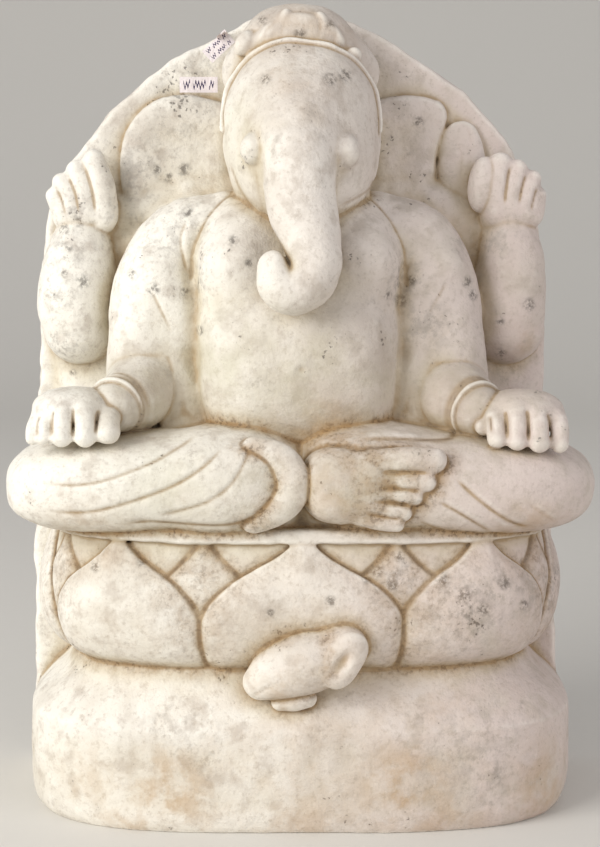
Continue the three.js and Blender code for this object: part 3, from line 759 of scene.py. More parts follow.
# Folds, cracks and cut lines. node: each line's width, depth and lip, and its points across and up
# the node's box.
ENGRAVED = {
    "trunk": ((2.4, 3.0, 0, (0.12, 0.37), (0.3, 0.29), (0.44, 0.19)),),
    "leg_right": (
        (1.6, 1.2, 0.5, (0.097, 0.56), (0.314, 0.57), (0.506, 0.74), (0.612, 0.89), (0.683, 1.01)),
        (1.6, 1.3, 0.6, (0.133, 0.3), (0.294, 0.3), (0.435, 0.39), (0.597, 0.56), (0.703, 0.75),
         (0.778, 0.96)),
        (1.5, 1.2, 0.5, (0.506, 0.25), (0.612, 0.32), (0.718, 0.43), (0.794, 0.6), (0.844, 0.85),
         (0.854, 0.98)),
        (1.6, 1.4, 0.5, (0.395, 0.16), (0.506, 0.21), (0.617, 0.19), (0.789, 0.19), (0.894, 0.33),
         (0.95, 0.57)),
    ),
    "leg_left": (
        (1.5, 1.4, 0.6, (0.438, 0.42), (0.524, 0.28), (0.645, 0.05)),
        (1.6, 1.5, 0.6, (0.489, 0.65), (0.57, 0.44), (0.676, 0.22), (0.771, 0.11)),
        (1.4, 1.1, 0.4, (0.378, 0.22), (0.418, 0.16), (0.474, 0.07)),
        (1.4, 0.7, 0.3, (0.736, 0.39), (0.792, 0.28), (0.852, 0.16)),
        (1.6, 1.4, 0.6, (0.146, 0.96), (0.297, 0.96), (0.474, 0.93), (0.57, 1.03), (0.62, 0.91)),
    ),
    "upper_arm_right": (
        (1.5, 1.1, 0.4, (0.34, 0.58), (0.45, 0.45), (0.6, 0.29)),
        (1.2, 0.7, 0.3, (0.41, 0.56), (0.5, 0.52), (0.6, 0.47)),
        (1.5, 1, 0.4, (0.63, 0.89), (0.58, 0.79), (0.64, 0.63)),
        (1.4, 0.5, 0.2, (0.12, 0.45), (0.26, 0.42), (0.41, 0.42)),
    ),
    "upper_arm_left": (
        (1.5, 1.1, -0.4, (0.75, 0.68), (0.55, 0.5), (0.34, 0.32)),
        (1.2, 0.7, 0.3, (0.41, 0.73), (0.35, 0.66), (0.29, 0.58)),
        (1.4, 0.5, 0.2, (0.81, 0.46), (0.69, 0.38), (0.52, 0.31)),
    ),
    "head": (
        (1.4, 1.2, 0.4, (0.05, 0.39), (0.09, 0.31), (0.14, 0.23), (0.28, 0.09)),
        (1.4, 0.7, 0.2, (0.22, 0.36), (0.24, 0.23), (0.28, 0.11)),
        (1.4, 1.1, 0.3, (0.95, 0.32), (0.9, 0.25), (0.7, 0.17)),
    ),
    "crown": (
        (1.2, 0.7, 0.2, (0.22, 0.37), (0.25, 0.55), (0.35, 0.72)),
        (1.2, 0.7, 0.2, (0.36, 0.47), (0.38, 0.63), (0.47, 0.8)),
        (1.2, 0.7, 0.2, (0.62, 0.43), (0.65, 0.59), (0.63, 0.78)),
        (1.2, 0.7, 0.2, (0.75, 0.39), (0.76, 0.55), (0.72, 0.72)),
        (1.1, 0.6, 0.2, (0.1, 0.35), (0.13, 0.51), (0.22, 0.61)),
    ),
    "crown_crest": (
        (1, 0.6, 0, (0.82, 0.17), (0.91, -0.06)),
        (1, 0.6, 0, (0.59, 0.17), (0.65, -0.06)),
        (1, 0.6, 0, (0.32, 0.17), (0.35, -0.06)),
    ),
    "raised_hand_left": ((1.2, 0.8, 0.2, (-0.02, 0.07), (0.18, 0.03), (0.42, 0.05)),),
    "raised_hand_right": ((1.2, 0.7, 0.2, (0.25, 0.16), (0.54, 0.1), (0.83, 0.19)),),
    "held_bud_left": (
        (1.1, 0.7, 0.2, (0.55, 0.92), (0.61, 0.85), (0.66, 0.73)),
        (1.1, 0.7, 0.2, (0.39, 0.78), (0.47, 0.62), (0.45, 0.41)),
    ),
    "mouse_body": (
        (1.2, 0.9, 0.3, (0.13, 0.02), (0.23, 0.18), (0.34, 0.25)),
        (1.1, 0.8, 0.2, (0.69, 0.09), (0.68, 0), (0.62, -0.09)),
    ),
    "mouse_paw": ((0.8, 0.6, 0, (0.19, 0.16), (0.42, 0.16)),),
}
# Soft hollows: node, place in its box, radii, depth.
DENTS = (
    ("navel", (0.62, 0.0, 0.42), (3.0, 4.0, 3.0), 3.0),
    ("mouse_head", (0.02, 0.05, 0.16), (3.0, 4.0, 3.0), 1.6),
    ("head", (0.16, 0.1, 0.86), (5.0, 8.0, 5.0), 1.2),
    ("head", (0.78, 0.1, 0.84), (8.0, 8.0, 7.0), 1.4),
    ("eye_boss_right", (0.42, 0.0, 0.3), (4.0, 4.0, 3.0), 0.8),
    ("eye_boss_left", (0.36, 0.0, 0.2), (5.0, 4.0, 3.0), 0.9),
    ("mouse_body", (0.3, 0.0, 0.25), (5.0, 6.0, 4.0), 1.0),
)
PETAL_NAMES = tuple(PETALS)
# A node with a higher number is cut away more sharply from its neighbours.
CREASE = dict.fromkeys(STONE, 1.0)
for strength, names in (
    (0.1, ("navel", "sash_right", "sash_left", "eye_boss_right")),
    (0.12, ("eye_boss_left",)),
    (0.25, ("ear_left",)),
    (0.3, ("ear_right",)),
    (0.4, ("crown_rosette_right", "held_bud_left")),
    (0.5, ("crown_crest", "crown_rosette_left")),
    (0.6, ("raised_arm_right", "raised_arm_left")),
    (0.7, ("seat_board", "raised_thumb_left")),
    (0.8, ("back_slab",)),
    (1.3, ("hem_roll", "leg_right", "leg_left", "torso")),
    (1.5, PETAL_NAMES),
    (1.6, ("lotus_core", "mouse_body", "folded_foot")),
):
    CREASE |= dict.fromkeys(names, strength)
# These joints have a strength of their own.
SOFT_JOINTS = {
    ("mouse_body", "mouse_head"): 0.15,
    ("head", "trunk"): 0.1,
    ("upper_arm_right", "back_slab"): 0.12,
    ("upper_arm_left", "back_slab"): 0.12,
    ("torso", "back_slab"): 0.3,
    ("upper_arm_right", "forearm_right"): 0.5,
    ("upper_arm_left", "forearm_left"): 0.5,
}
# Dirt has spread out of these joints: the nodes on one side, those on the other, and how much.
DIRTY_JOINTS = (
    (("leg_right", "leg_left", "hem_roll", "folded_foot"), ("seat_board", "lotus_core"), 1.0),
    (("leg_right", "leg_left"), ("torso",), 1.0),
    (("leg_right", "leg_left", "hem_roll"), ("folded_foot", "hem_roll"), 0.9),
    (("plinth",), PETAL_NAMES + ("lotus_core",), 0.8),
    (PETAL_NAMES, PETAL_NAMES + ("lotus_core",), 0.55),
    (("mouse_body", "mouse_head", "mouse_paw"), ("plinth", "petal_front", "mouse_body"), 0.6),
    (("head", "trunk"), ("torso", "upper_arm_right", "upper_arm_left"), 0.5),
    (("raised_arm_right", "raised_arm_left", "back_slab"), ("back_slab", "plinth"), 0.4),
)
JOINT_WIDTH = 1.7
JOINT_DEPTH = 0.9
DIRT_WIDTH = 7.0
DIGIT_GROOVE = (1.2, 1.5)  # width and depth
# The stone's wear: depth, the size of its lumps, and a seed.
WEAR = ((0.9, 45, 1), (0.5, 14, 2), (0.28, 6, 3))


def joint_table(value):
    """A table of value(a, b) by the two nodes' numbers, with zeros for the air."""
    table = np.zeros((len(STONE) + 1, len(STONE) + 1), np.float32)
    for a in STONE:
        for b in STONE:
            table[NUMBER[a], NUMBER[b]] = value(a, b)
    return table


def crease_strength(a, b):
    """How sharply the joint between two nodes is cut."""
    soft = SOFT_JOINTS.get((a, b), SOFT_JOINTS.get((b, a)))
    return min(CREASE[a], CREASE[b]) if soft is None else soft


def dirtiness(a, b):
    """How much dirt has spread out of the joint between two nodes."""
    spread = (
        amount
        for one, other, amount in DIRTY_JOINTS
        if (a in one and b in other) or (b in one and a in other)
    )
    return max(spread, default=0.0)


def crease():
    """Cuts a groove along every joint between two nodes' shapes, and dirties the stone beside it."""
    strength, dirt = joint_table(crease_strength), joint_table(dirtiness)
    for layer in range(0, SHAPE[0], 40):
        part = slice(layer, layer + 40)
        lead = second[part] - nearest[part]
        cut = np.exp(-((lead / JOINT_WIDTH) ** 2)) * strength[owner[part], runner_up[part]]
        field[part] += JOINT_DEPTH * cut
        carved[part] = np.maximum(carved[part], np.minimum(0.75 * cut, 1))
        dirty[part] = np.exp(-((lead / DIRT_WIDTH) ** 2)) * dirt[owner[part], runner_up[part]]


crease()
for name, lines in ENGRAVED.items():
    for width, depth, lip, *path in lines:
        engrave(name, line(name, *path), width, depth, lip)
for name, strands in DIGITS.items():
    for one, next_one in zip(strands, strands[1:]):
        engrave(name, ((one + next_one) / 2)[:, [0, 2]], *DIGIT_GROOVE)
for name, share, radii, depth in DENTS:
    dent(name, share, radii, depth)


def soften(axis):
    """Averages the field's samples with their neighbours along an axis."""
    before, middle, after = ([slice(None)] * 3 for _ in range(3))
    before[axis], middle[axis], after[axis] = slice(0, -2), slice(1, -1), slice(2, None)
    smoothed = (field[tuple(before)] + 2 * field[tuple(middle)] + field[tuple(after)]) / 4
    field[tuple(middle)] = smoothed


whole = Window(START, START + STEP * np.array(SHAPE))
field += sum(depth * lumps(whole, size, seed) for depth, size, seed in WEAR)
for axis in range(3):
    soften(axis)
np.maximum(field, -whole.z, out=field)  # cut off flat at the floor

# ---------------------------------------------------------------- hollows and stains


def sample(grid, places, step=STEP):
    """Values of a grid at these places in millimetres, by trilinear interpolation."""
    share = (places - START) / step
    cell = np.clip(share.astype(int), 0, np.array(grid.shape) - 2)
    t = share - cell
    value = 0
    for i in (0, 1):
        for j in (0, 1):
            for k in (0, 1):
                weight = np.abs(1 - i - t[:, 0]) * np.abs(1 - j - t[:, 1]) * np.abs(1 - k - t[:, 2])
                value = value + weight * grid[cell[:, 0] + i, cell[:, 1] + j, cell[:, 2] + k]
    return value


def blurred(grid, reach):
    """A grid averaged twice over boxes that reach this many samples each way."""
    for axis in (0, 1, 2, 0, 1, 2):
        pad = [(0, 0)] * 3
        pad[axis] = (reach + 1, reach)
        total = np.cumsum(np.pad(grid, pad, mode="edge"), axis=axis, dtype=np.float64)
        width = 2 * reach + 1
        after, before = [slice(None)] * 3, [slice(None)] * 3
        after[axis], before[axis] = slice(width, None), slice(0, -width)
        grid = ((total[tuple(after)] - total[tuple(before)]) / width).astype(np.float32)
    return grid


def thinned(grid, factor):
    """A grid's means over blocks this many samples a side."""
    counts = [size // factor for size in grid.shape]
    grid = grid[tuple(slice(count * factor) for count in counts)]
    blocks = [size for count in counts for size in (count, factor)]
    return grid.reshape(blocks).mean((1, 3, 5))


# How much stone there is round each place: low on a ridge, high in a hollow.
HOLLOW_REACH = 1.6
DEEP_REACH = 9
COARSE = 3  # the deep grid's spacing, in samples
filled = np.clip(0.5 - field / (2 * STEP), 0, 1)
hollow_grid = blurred(filled, max(1, round(HOLLOW_REACH / STEP)))
deep_grid = blurred(thinned(filled, COARSE), round(DEEP_REACH / (STEP * COARSE)))
del filled

# ---------------------------------------------------------------- one closed piece for each node

CELL_CORNERS = [(i, j, k) for i in (0, 1) for j in (0, 1) for k in (0, 1)]


def corner(grid, shift):
    """The grid's values at one corner of every cell."""
    return grid[tuple(slice(s, size - 1 + s) for s, size in zip(shift, grid.shape))]


def crossings(label, cells):
    """Where the stone's surface, or else the joint between two nodes, passes through each cell."""
    skin = np.zeros((len(cells), 4))
    joint = np.zeros((len(cells), 4))
    for a in CELL_CORNERS:
        for axis in range(3):
            if a[axis]:
                continue
            b = tuple(s + (k == axis) for k, s in enumerate(a))
            i, j = tuple((cells + a).T), tuple((cells + b).T)
            label_a, label_b = label[i], label[j]
            skin_here = (label_a == 0) != (label_b == 0)
            joint_here = (label_a != label_b) & ~skin_here
            fall = field[i] / np.where(skin_here, field[i] - field[j], 1)
            lead_a, lead_b = (second[i] - nearest[i]), (second[j] - nearest[j])
            turn = lead_a / np.maximum(lead_a + lead_b, 1e-4)
            for total, here, share in ((skin, skin_here, fall), (joint, joint_here, turn)):
                place = np.tile(np.array(a, float), (len(cells), 1))
                place[:, axis] = np.clip(share, 0.02, 0.98)
                total[:, :3] += place * here[:, None]
                total[:, 3] += here
    chosen = np.where(skin[:, 3:] > 0, skin, joint)
    return START + STEP * (cells + chosen[:, :3] / np.maximum(chosen[:, 3:], 1))


def surface():
    """Vertices, and quads with the labels before and behind them."""
    label = np.where(field < 0, owner, 0).astype(np.uint8)
    mixed = np.zeros(tuple(size - 1 for size in SHAPE), bool)
    for shift in CELL_CORNERS[1:]:
        mixed |= corner(label, shift) != corner(label, (0, 0, 0))
    cells = np.argwhere(mixed)
    index = np.full(mixed.shape, -1, np.int32)
    index[mixed] = np.arange(len(cells))
    quads, inner, outer = [], [], []
    for axis in range(3):
        u, v = (axis + 1) % 3, (axis + 2) % 3
        here, there = [slice(1, -1)] * 3, [slice(1, -1)] * 3
        here[axis], there[axis] = slice(0, -1), slice(1, None)
        a, b = label[tuple(here)], label[tuple(there)]
        places = np.argwhere(a != b)
        inner.append(a[tuple(places.T)])
        outer.append(b[tuple(places.T)])
        places += [int(k != axis) for k in range(3)]
        ring = []
        for du, dv in ((-1, -1), (0, -1), (0, 0), (-1, 0)):
            cell = places.copy()
            cell[:, u] += du
            cell[:, v] += dv
            ring.append(index[tuple(cell.T)])
        quads.append(np.stack(ring, 1))
    return crossings(label, cells), np.vstack(quads), np.concatenate(inner), np.concatenate(outer)


def slopes(places):
    """Unit normals of the field at these places."""
    made = np.stack(
        [
            sample(field, places + np.eye(3)[k] * STEP) - sample(field, places - np.eye(3)[k] * STEP)
            for k in range(3)
        ],
        1,
    )
    return made / np.maximum(np.linalg.norm(made, axis=1, keepdims=True), 1e-6)


# Patches laid on the stone. node: each patch's place in its box, radius in millimetres and
# strength.
# Grey soot.
SOOT = {
    "raised_arm_right": (
        (0.3, 0.0, 0.85, 16, 0.9), (0.25, 0.0, 0.5, 14, 0.7), (0.35, 0.0, 0.15, 12, 0.5),
    ),
    "raised_hand_right": ((0.35, 0.0, 0.25, 14, 0.7),),
    "upper_arm_right": ((0.55, 0.2, 0.85, 24, 0.5), (0.8, 0.1, 0.6, 14, 0.8)),
    "upper_arm_left": ((0.25, 0.1, 0.62, 16, 0.9), (0.5, 0.1, 0.4, 18, 0.6)),
    "back_slab": ((0.2, 0.0, 0.8, 26, 0.6), (0.3, 0.0, 0.9, 24, 0.6)),
    "petal_corner_left": ((0.4, 0.1, 0.5, 26, 0.8),),
    "petal_side_left": ((0.7, 0.2, 0.5, 24, 0.7),),
    "petal_inner_left": ((0.5, 0.2, 0.6, 18, 0.6),),
    "ear_right": ((0.5, 0.0, 0.7, 20, 0.4),),
    "plinth": ((0.8, 0.0, 0.5, 40, 0.4),),
}
# Brown stains, most of them round the plinth.
RUST = {
    "plinth": (
        (0.5, 0.0, 0.5, 150, 0.25), (0.27, 0.0, 0.26, 32, 0.95), (0.68, 0.0, 0.32, 30, 0.9),
        (0.12, 0.0, 0.3, 30, 0.6), (0.95, 0.2, 0.2, 32, 0.7), (0.75, 0.0, 0.92, 22, 0.8),
        (0.2, 0.0, 0.0, 34, 0.7), (0.5, 0.0, 0.0, 34, 0.6), (0.75, 0.0, 0.0, 34, 0.6),
    ),
    "torso": ((0.6, 0.1, 0.03, 26, 0.6), (0.1, 0.3, 0.06, 16, 0.4), (0.9, 0.3, 0.06, 16, 0.4)),
    "mouse_body": ((0.4, 0.2, 0.1, 22, 0.6),),
    "leg_left": ((0.12, 0.0, 0.5, 22, 0.5), (0.75, 0.1, 0.05, 22, 0.7)),
    "raised_arm_left": ((0.7, 0.0, 0.1, 14, 0.7),),
    "crown": ((0.5, 0.2, 0.5, 40, 0.3),),
    "head": ((0.5, 0.0, 0.85, 36, 0.25),),
    "petal_side_left": ((0.8, 0.5, 0.1, 26, 0.6),),
    "leg_right": ((0.3, 0.1, 0.05, 26, 0.6),),
}
# Single dark specks. node: places across and up its box, and the speck's radius.
SPECKS = {
    "raised_arm_right": (
        (0.56, 0.96, 4), (0.35, 0.91, 4.5), (0.44, 0.79, 3), (0.63, 0.57, 5), (0.39, 0.62, 3),
    ),
    "back_slab": ((0.08, 0.54, 3), (0.29, 0.8, 5), (0.26, 0.79, 4), (0.24, 0.8, 3.5), (0.72, 0.86, 4)),
    "upper_arm_right": ((0.19, 0.64, 3.5), (0.37, 0.57, 5), (0.64, 0.92, 4), (0.62, 0.56, 3)),
    "upper_arm_left": ((0.85, 0.6, 4), (0.9, 0.54, 4), (0.29, 0.52, 5), (0.38, 0.61, 4)),
    "raised_arm_left": ((0.73, 0.42, 5), (0.38, 0.08, 4), (0.35, 0.31, 3)),
    "petal_inner_left": ((0.2, 0.6, 5), (0.5, 0.8, 4), (0.4, 0.4, 5)),
    "petal_corner_left": (
        (0.27, 0.73, 5), (0.41, 0.61, 6), (0.54, 0.5, 5), (0.68, 0.69, 5), (0.82, 0.5, 4),
    ),
    "petal_corner_right": ((0.3, 0.8, 4), (0.6, 0.85, 3)),
    "petal_front": ((0.63, 0.59, 4), (0.8, 0.75, 4), (0.35, 0.5, 3)),
    "torso": ((0.04, 0.45, 3.5), (0.2, 0.83, 4), (0.27, 0.74, 3), (0.9, 0.6, 3)),
    "crown": ((0.22, 0.7, 4), (0.72, 0.63, 4), (0.5, 0.5, 5)),
    "head": ((0.28, 0.77, 4), (0.67, 0.77, 5), (0.76, 0.79, 5)),
}
SPECK_REACH = 45  # how far back from the front a speck still shows


def specked(places):
    """How dark these places are with single specks, each a tube that runs back into the stone."""
    value = np.zeros(len(places), np.float32)
    for node, specks in SPECKS.items():
        for across, height, radius in specks:
            x, y, z = at(node, across, 0.3, height)
            gap = np.hypot(places[:, 0] - x, places[:, 2] - z) / radius
            value = np.maximum(value, np.exp(-(gap**2)) * (np.abs(places[:, 1] - y) < SPECK_REACH))
    return value


# Greyish-brown patches that darken the stone, partly dust of old handling and partly painted shade.
DUST_AND_SHADE = {
    "crown": ((0.35, 0.2, 0.6, 46, 0.8), (0.75, 0.2, 0.4, 44, 0.8)),
    "head": ((0.35, 0.0, 0.85, 40, 0.75), (0.75, 0.0, 0.85, 36, 0.6), (0.95, 0.1, 0.5, 30, 0.5)),
    "back_slab": ((0.22, 0.0, 0.85, 60, 0.5),),
    "torso": ((0.25, 0.0, 0.92, 30, 0.6), (0.95, 0.1, 0.4, 40, 0.9), (0.6, 0.0, 0.15, 44, 0.6)),
    "forearm_right": ((0.6, 0.2, 0.5, 36, 0.95),),
    "forearm_left": ((0.45, 0.2, 0.5, 36, 0.95),),
    "leg_right": ((0.7, 0.0, 0.45, 40, 0.3),),
    "raised_hand_right": ((0.4, 0.0, 0.4, 34, 0.4),),
    "raised_arm_left": ((0.4, 0.0, 0.6, 40, 0.3),),
    "plinth": ((0.12, 0.0, 0.9, 40, 0.35),),
    "trunk": ((0.5, 0.0, 0.1, 24, 0.3),),
}
# A greenish tint on the belly, the arms and the legs, darker than the stone, partly painted shade.
OLIVE_AND_SHADE = {
    "torso": ((0.1, 0.1, 0.3, 44, 0.8), (0.5, 0.0, 0.25, 50, 0.8), (0.85, 0.1, 0.2, 36, 0.7)),
    "forearm_right": ((0.6, 0.2, 0.5, 34, 0.9),),
    "forearm_left": ((0.5, 0.2, 0.5, 36, 0.9),),
    "hem_roll": ((0.5, 0.0, 0.4, 40, 0.6),),
    "leg_right": ((0.6, 0.0, 0.5, 50, 0.6),),
    "folded_foot": ((0.4, 0.0, 0.5, 40, 0.6),),
    "head": ((0.1, 0.2, 0.5, 34, 0.5),),
}


def patch_strength(places, table):
    """How strongly the listed patches, of stain and of painted shade, cover these places."""
    value = np.zeros(len(places), np.float32)
    for node, patches in table.items():
        for *share, radius, strength in patches:
            gap = ((places - at(node, *share)) ** 2).sum(1) / radius**2
            value = np.maximum(value, strength * np.exp(-gap))
    return value


vertices, quads, inner, outer = surface()
normals = slopes(vertices)
marks = {
    "hollow": sample(hollow_grid, vertices),
    "deep": sample(deep_grid, vertices, STEP * COARSE),
    "carved": sample(carved, vertices),
    "dirty": sample(dirty, vertices),
    "soot": patch_strength(vertices, SOOT),
    "rust": patch_strength(vertices, RUST),
    "olive_and_shade": patch_strength(vertices, OLIVE_AND_SHADE),
    "dust_and_shade": patch_strength(vertices, DUST_AND_SHADE),
    "specks": specked(vertices),
}
vertices /= MM


def stone_piece(name, marble):
    """The closed piece of stone that belongs to a node."""
    mine = NUMBER[name]
    faces = np.vstack([quads[inner == mine], quads[outer == mine][:, ::-1]])
    used, faces = np.unique(faces, return_inverse=True)
    faces = faces.reshape(-1, 4)
    mesh = bpy.data.meshes.new(f"marble_{name}")
    mesh.vertices.add(len(used))
    mesh.vertices.foreach_set("co", vertices[used].ravel())
    mesh.loops.add(faces.size)
    mesh.loops.foreach_set("vertex_index", faces.ravel().astype(np.int32))
    mesh.polygons.add(len(faces))
    mesh.polygons.foreach_set("loop_start", np.arange(0, faces.size, 4, dtype=np.int32))
    mesh.update(calc_edges=True)
    mesh.validate()
    for mark, values in marks.items():
        attribute = mesh.attributes.new(mark, "FLOAT", "POINT")
        attribute.data.foreach_set("value", values[used].astype(np.float32))
    mesh.normals_split_custom_set_from_vertices(normals[used])
    mesh.materials.append(marble)
    piece = bpy.data.objects.new(f"marble_{name}", mesh)
    bpy.context.collection.objects.link(piece)
    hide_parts(name)
    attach(piece, "root")


# ---------------------------------------------------------------- materials


class Paint:
    """A new material, with short ways to add nodes to it."""

    def __init__(self, name):
        self.material = bpy.data.materials.new(name)
        self.material.use_nodes = True
        self.tree = self.material.node_tree
        self.tree.nodes.clear()
        self.shader = self.add("BsdfPrincipled")
        self.add("OutputMaterial", Surface=self.shader.outputs[0])
        self.place = self.add("TexCoord").outputs["Object"]

    def plug(self, socket, value):
        """Links a socket to another node's output, or sets it to a plain value."""
        if isinstance(value, bpy.types.NodeSocket):
            self.tree.links.new(value, socket)
        else:
            socket.default_value = value

    def add(self, kind, settings=None, ordered=(), **inputs):
        """A new node: its settings, its first inputs in order, and other inputs by name."""
        made = self.tree.nodes.new(f"ShaderNode{kind}")
        for key, value in (settings or {}).items():
            setattr(made, key, value)
        for k, value in enumerate(ordered):
            self.plug(made.inputs[k], value)
        for key, value in inputs.items():
            self.plug(made.inputs[key], value)
        return made

    def math(self, operation, *values, clamp=False):
        return self.add("Math", {"operation": operation, "use_clamp": clamp}, values).outputs[0]

    def plus(self, a, b, clamp=False):
        return self.math("ADD", a, b, clamp=clamp)

    def times(self, a, b, clamp=False):
        return self.math("MULTIPLY", a, b, clamp=clamp)

    def ramp(self, value, low, high, to_low=0.0, to_high=1.0, soft=True):
        """The value carried from one range to another, eased at both ends if it is soft."""
        settings = {"interpolation_type": "SMOOTHSTEP" if soft else "LINEAR"}
        return self.add("MapRange", settings, (value, low, high, to_low, to_high)).outputs[0]

    def noise(self, scale, detail=3.0, rough=0.5, distortion=0.0):
        inputs = {"Scale": scale, "Detail": detail, "Roughness": rough, "Distortion": distortion}
        return self.add("TexNoise", Vector=self.place, **inputs).outputs["Fac"]

    def mark(self, name):
        """One of the stone's marks, as its vertices hold it."""
        return self.add("Attribute", {"attribute_name": name}).outputs["Fac"]

    def mix(self, share, a, b):
        """Colour a, with this share of colour b."""
        made = self.add("Mix", {"data_type": "RGBA"})
        for k, value in ((0, share), (6, a), (7, b)):
            self.plug(made.inputs[k], value)
        return made.outputs[2]

    def bump(self, height, strength, distance):
        made = self.add("Bump", Height=height, Strength=strength, Distance=distance)
        self.plug(self.shader.inputs["Normal"], made.outputs[0])


def tint(hex_colour):
    """A linear colour from its sRGB hex digits."""
    made = []
    for k in (0, 2, 4):
        share = int(hex_colour[k : k + 2], 16) / 255
        made.append(share / 12.92 if share <= 0.04045 else ((share + 0.055) / 1.055) ** 2.4)
    return (*made, 1.0)


def marble_with_side_shade(p, cloudy, mottle):
    """Cream marble with painted shade that greys it to the right, clouded, mottled and freckled with
    grey.
    """
    across = p.add("SeparateXYZ", Vector=p.place).outputs[0]
    wander = p.times(p.math("SUBTRACT", cloudy, 0.5), 0.18)
    # Painted shade: the colour darkens to a pinkish grey towards the right side.
    colour = p.mix(p.ramp(p.plus(across, wander), -0.1, 0.16), tint("ece8dd"), tint("cfc1b9"))
    colour = p.mix(p.ramp(cloudy, 0.5, 0.68, 0, 0.5), colour, tint("c9c1b3"))
    colour = p.mix(p.ramp(mottle, 0.48, 0.68, 0, 0.55), colour, tint("b8ada0"))
    return p.mix(p.ramp(p.noise(260, 3, 0.7), 0.5, 0.72, 0, 0.4), colour, tint("aba092"))


def weathered_and_shaded(p, colour, deep, soot):
    """Yellow in the deep places, a green tint and a brown wash that partly paint shade, and grey soot
    over the mottling.
    """
    colour = p.mix(p.ramp(deep, 0.5, 0.68, 0, 0.4), colour, tint("bfb18a"))
    # A greenish tint that also serves as painted shade, darkening the belly, the forearms and the legs.
    olive_and_shade = p.times(p.mark("olive_and_shade"), p.ramp(p.noise(40, 3, 0.6), 0.35, 0.65, 0.4, 1.0))
    colour = p.mix(p.times(olive_and_shade, 0.6), colour, tint("b6b293"))
    # Partly dust and partly painted shade: greyish-brown patches that darken the stone where they lie.
    dust_and_shade = p.times(p.mark("dust_and_shade"), p.ramp(p.noise(26, 4, 0.6), 0.3, 0.66, 0.45, 1.0))
    colour = p.mix(p.times(dust_and_shade, 0.7), colour, tint("9c8c7e"))
    sooty = p.plus(soot, p.ramp(p.noise(22, 3, 0.6), 0.56, 0.72, 0, 0.5))
    sooty = p.times(sooty, p.ramp(p.noise(130, 5, 0.65), 0.42, 0.62), clamp=True)
    return p.mix(p.times(sooty, 0.7), colour, tint("86817b"))


def speckle(p, soot):
    """Small ragged specks in clusters, and the single ones listed, from 0 to 1."""
    ragged = p.add("TexNoise", Vector=p.place, Scale=500.0, Detail=2.0).outputs["Color"]
    ragged = p.add("VectorMath", {"operation": "SCALE"}, (ragged,), Scale=0.004).outputs[0]
    ragged = p.add("VectorMath", {"operation": "ADD"}, (p.place, ragged)).outputs[0]
    cells = p.add("TexVoronoi", {"feature": "F1"}, Vector=ragged, Scale=260.0)
    clusters = p.plus(p.ramp(p.noise(30, 3, 0.6), 0.56, 0.72), p.times(soot, 0.85))
    size = p.times(clusters, 0.33)
    spots = p.ramp(p.math("SUBTRACT", size, cells.outputs["Distance"]), -0.04, 0.16)
    lone = p.times(p.ramp(p.mark("specks"), 0.1, 0.9), p.ramp(p.noise(300, 4, 0.7), 0.4, 0.58))
    return p.math("MAXIMUM", spots, lone)


def grime_share(p, hollow, deep, cut):
    """How much brown dirt has gathered in the hollows and along the cuts, from 0 to 1."""
    grime = p.plus(p.ramp(hollow, 0.5, 0.6), p.times(p.ramp(deep, 0.55, 0.76), 0.5))
    grime = p.times(grime, p.ramp(p.noise(38, 4, 0.6), 0.34, 0.66, 0.3, 1.0))
    return p.plus(grime, p.times(p.ramp(cut, 0.1, 0.8), 0.7), clamp=True)


def dirtied(p, colour, grime, hollow, cut):
    """The colour under grime, dirt packed in the cuts, dirt spread from the joints, and rust."""
    colour = p.mix(p.times(grime, 0.66), colour, tint("9b8058"))
    packed = p.times(p.ramp(cut, 0.45, 0.95), p.ramp(p.noise(85, 4, 0.65), 0.34, 0.6))
    packed = p.plus(packed, p.times(p.ramp(hollow, 0.58, 0.68), 0.6), clamp=True)
    colour = p.mix(p.times(packed, 0.6), colour, tint("4c3d30"))
    spread = p.times(p.mark("dirty"), p.ramp(p.noise(70, 5, 0.7), 0.36, 0.62, 0.15, 1.0))
    colour = p.mix(p.times(spread, 0.72), colour, tint("94744a"))
    dotted = p.times(spread, p.ramp(p.noise(330, 3, 0.6), 0.5, 0.6))
    colour = p.mix(p.times(dotted, 0.6), colour, tint("4a3826"))
    rusty = p.times(p.mark("rust"), p.ramp(p.noise(46, 4, 0.6), 0.38, 0.62, 0.25, 1.0), clamp=True)
    return p.mix(p.times(rusty, 0.75), colour, tint("ae8a58"))


def marble_material():
    """Worn marble, stained and painted with shade where its marks say, and a little rough all over."""
    p = Paint("carved_marble")
    cloudy, mottle = p.noise(14, 4, 0.55, 0.4), p.noise(60, 5, 0.6)
    hollow, deep, cut, soot = (p.mark(name) for name in ("hollow", "deep", "carved", "soot"))
    speck = speckle(p, soot)
    grime = grime_share(p, hollow, deep, cut)

    colour = weathered_and_shaded(p, marble_with_side_shade(p, cloudy, mottle), deep, soot)
    colour = p.mix(p.times(speck, 0.7), colour, tint("4d4741"))
    colour = dirtied(p, colour, grime, hollow, cut)
    pale_on_ridges = p.ramp(hollow, 0.49, 0.40, 0, 0.5)  # paler on the ridges and high places
    colour = p.mix(pale_on_ridges, colour, tint("f3efe4"))
    p.plug(p.shader.inputs["Base Color"], colour)

    rough = p.plus(p.ramp(mottle, 0.35, 0.7, 0.5, 0.68), p.times(grime, 0.2), clamp=True)
    p.plug(p.shader.inputs["Roughness"], rough)
    p.shader.inputs["Specular IOR Level"].default_value = 0.35
    height = p.plus(p.times(p.noise(420, 3, 0.6), 0.4), p.times(p.noise(150, 5, 0.65), 0.6))
    p.bump(p.math("SUBTRACT", height, p.times(speck, 0.25)), 0.7, 0.0016)
    return p.material


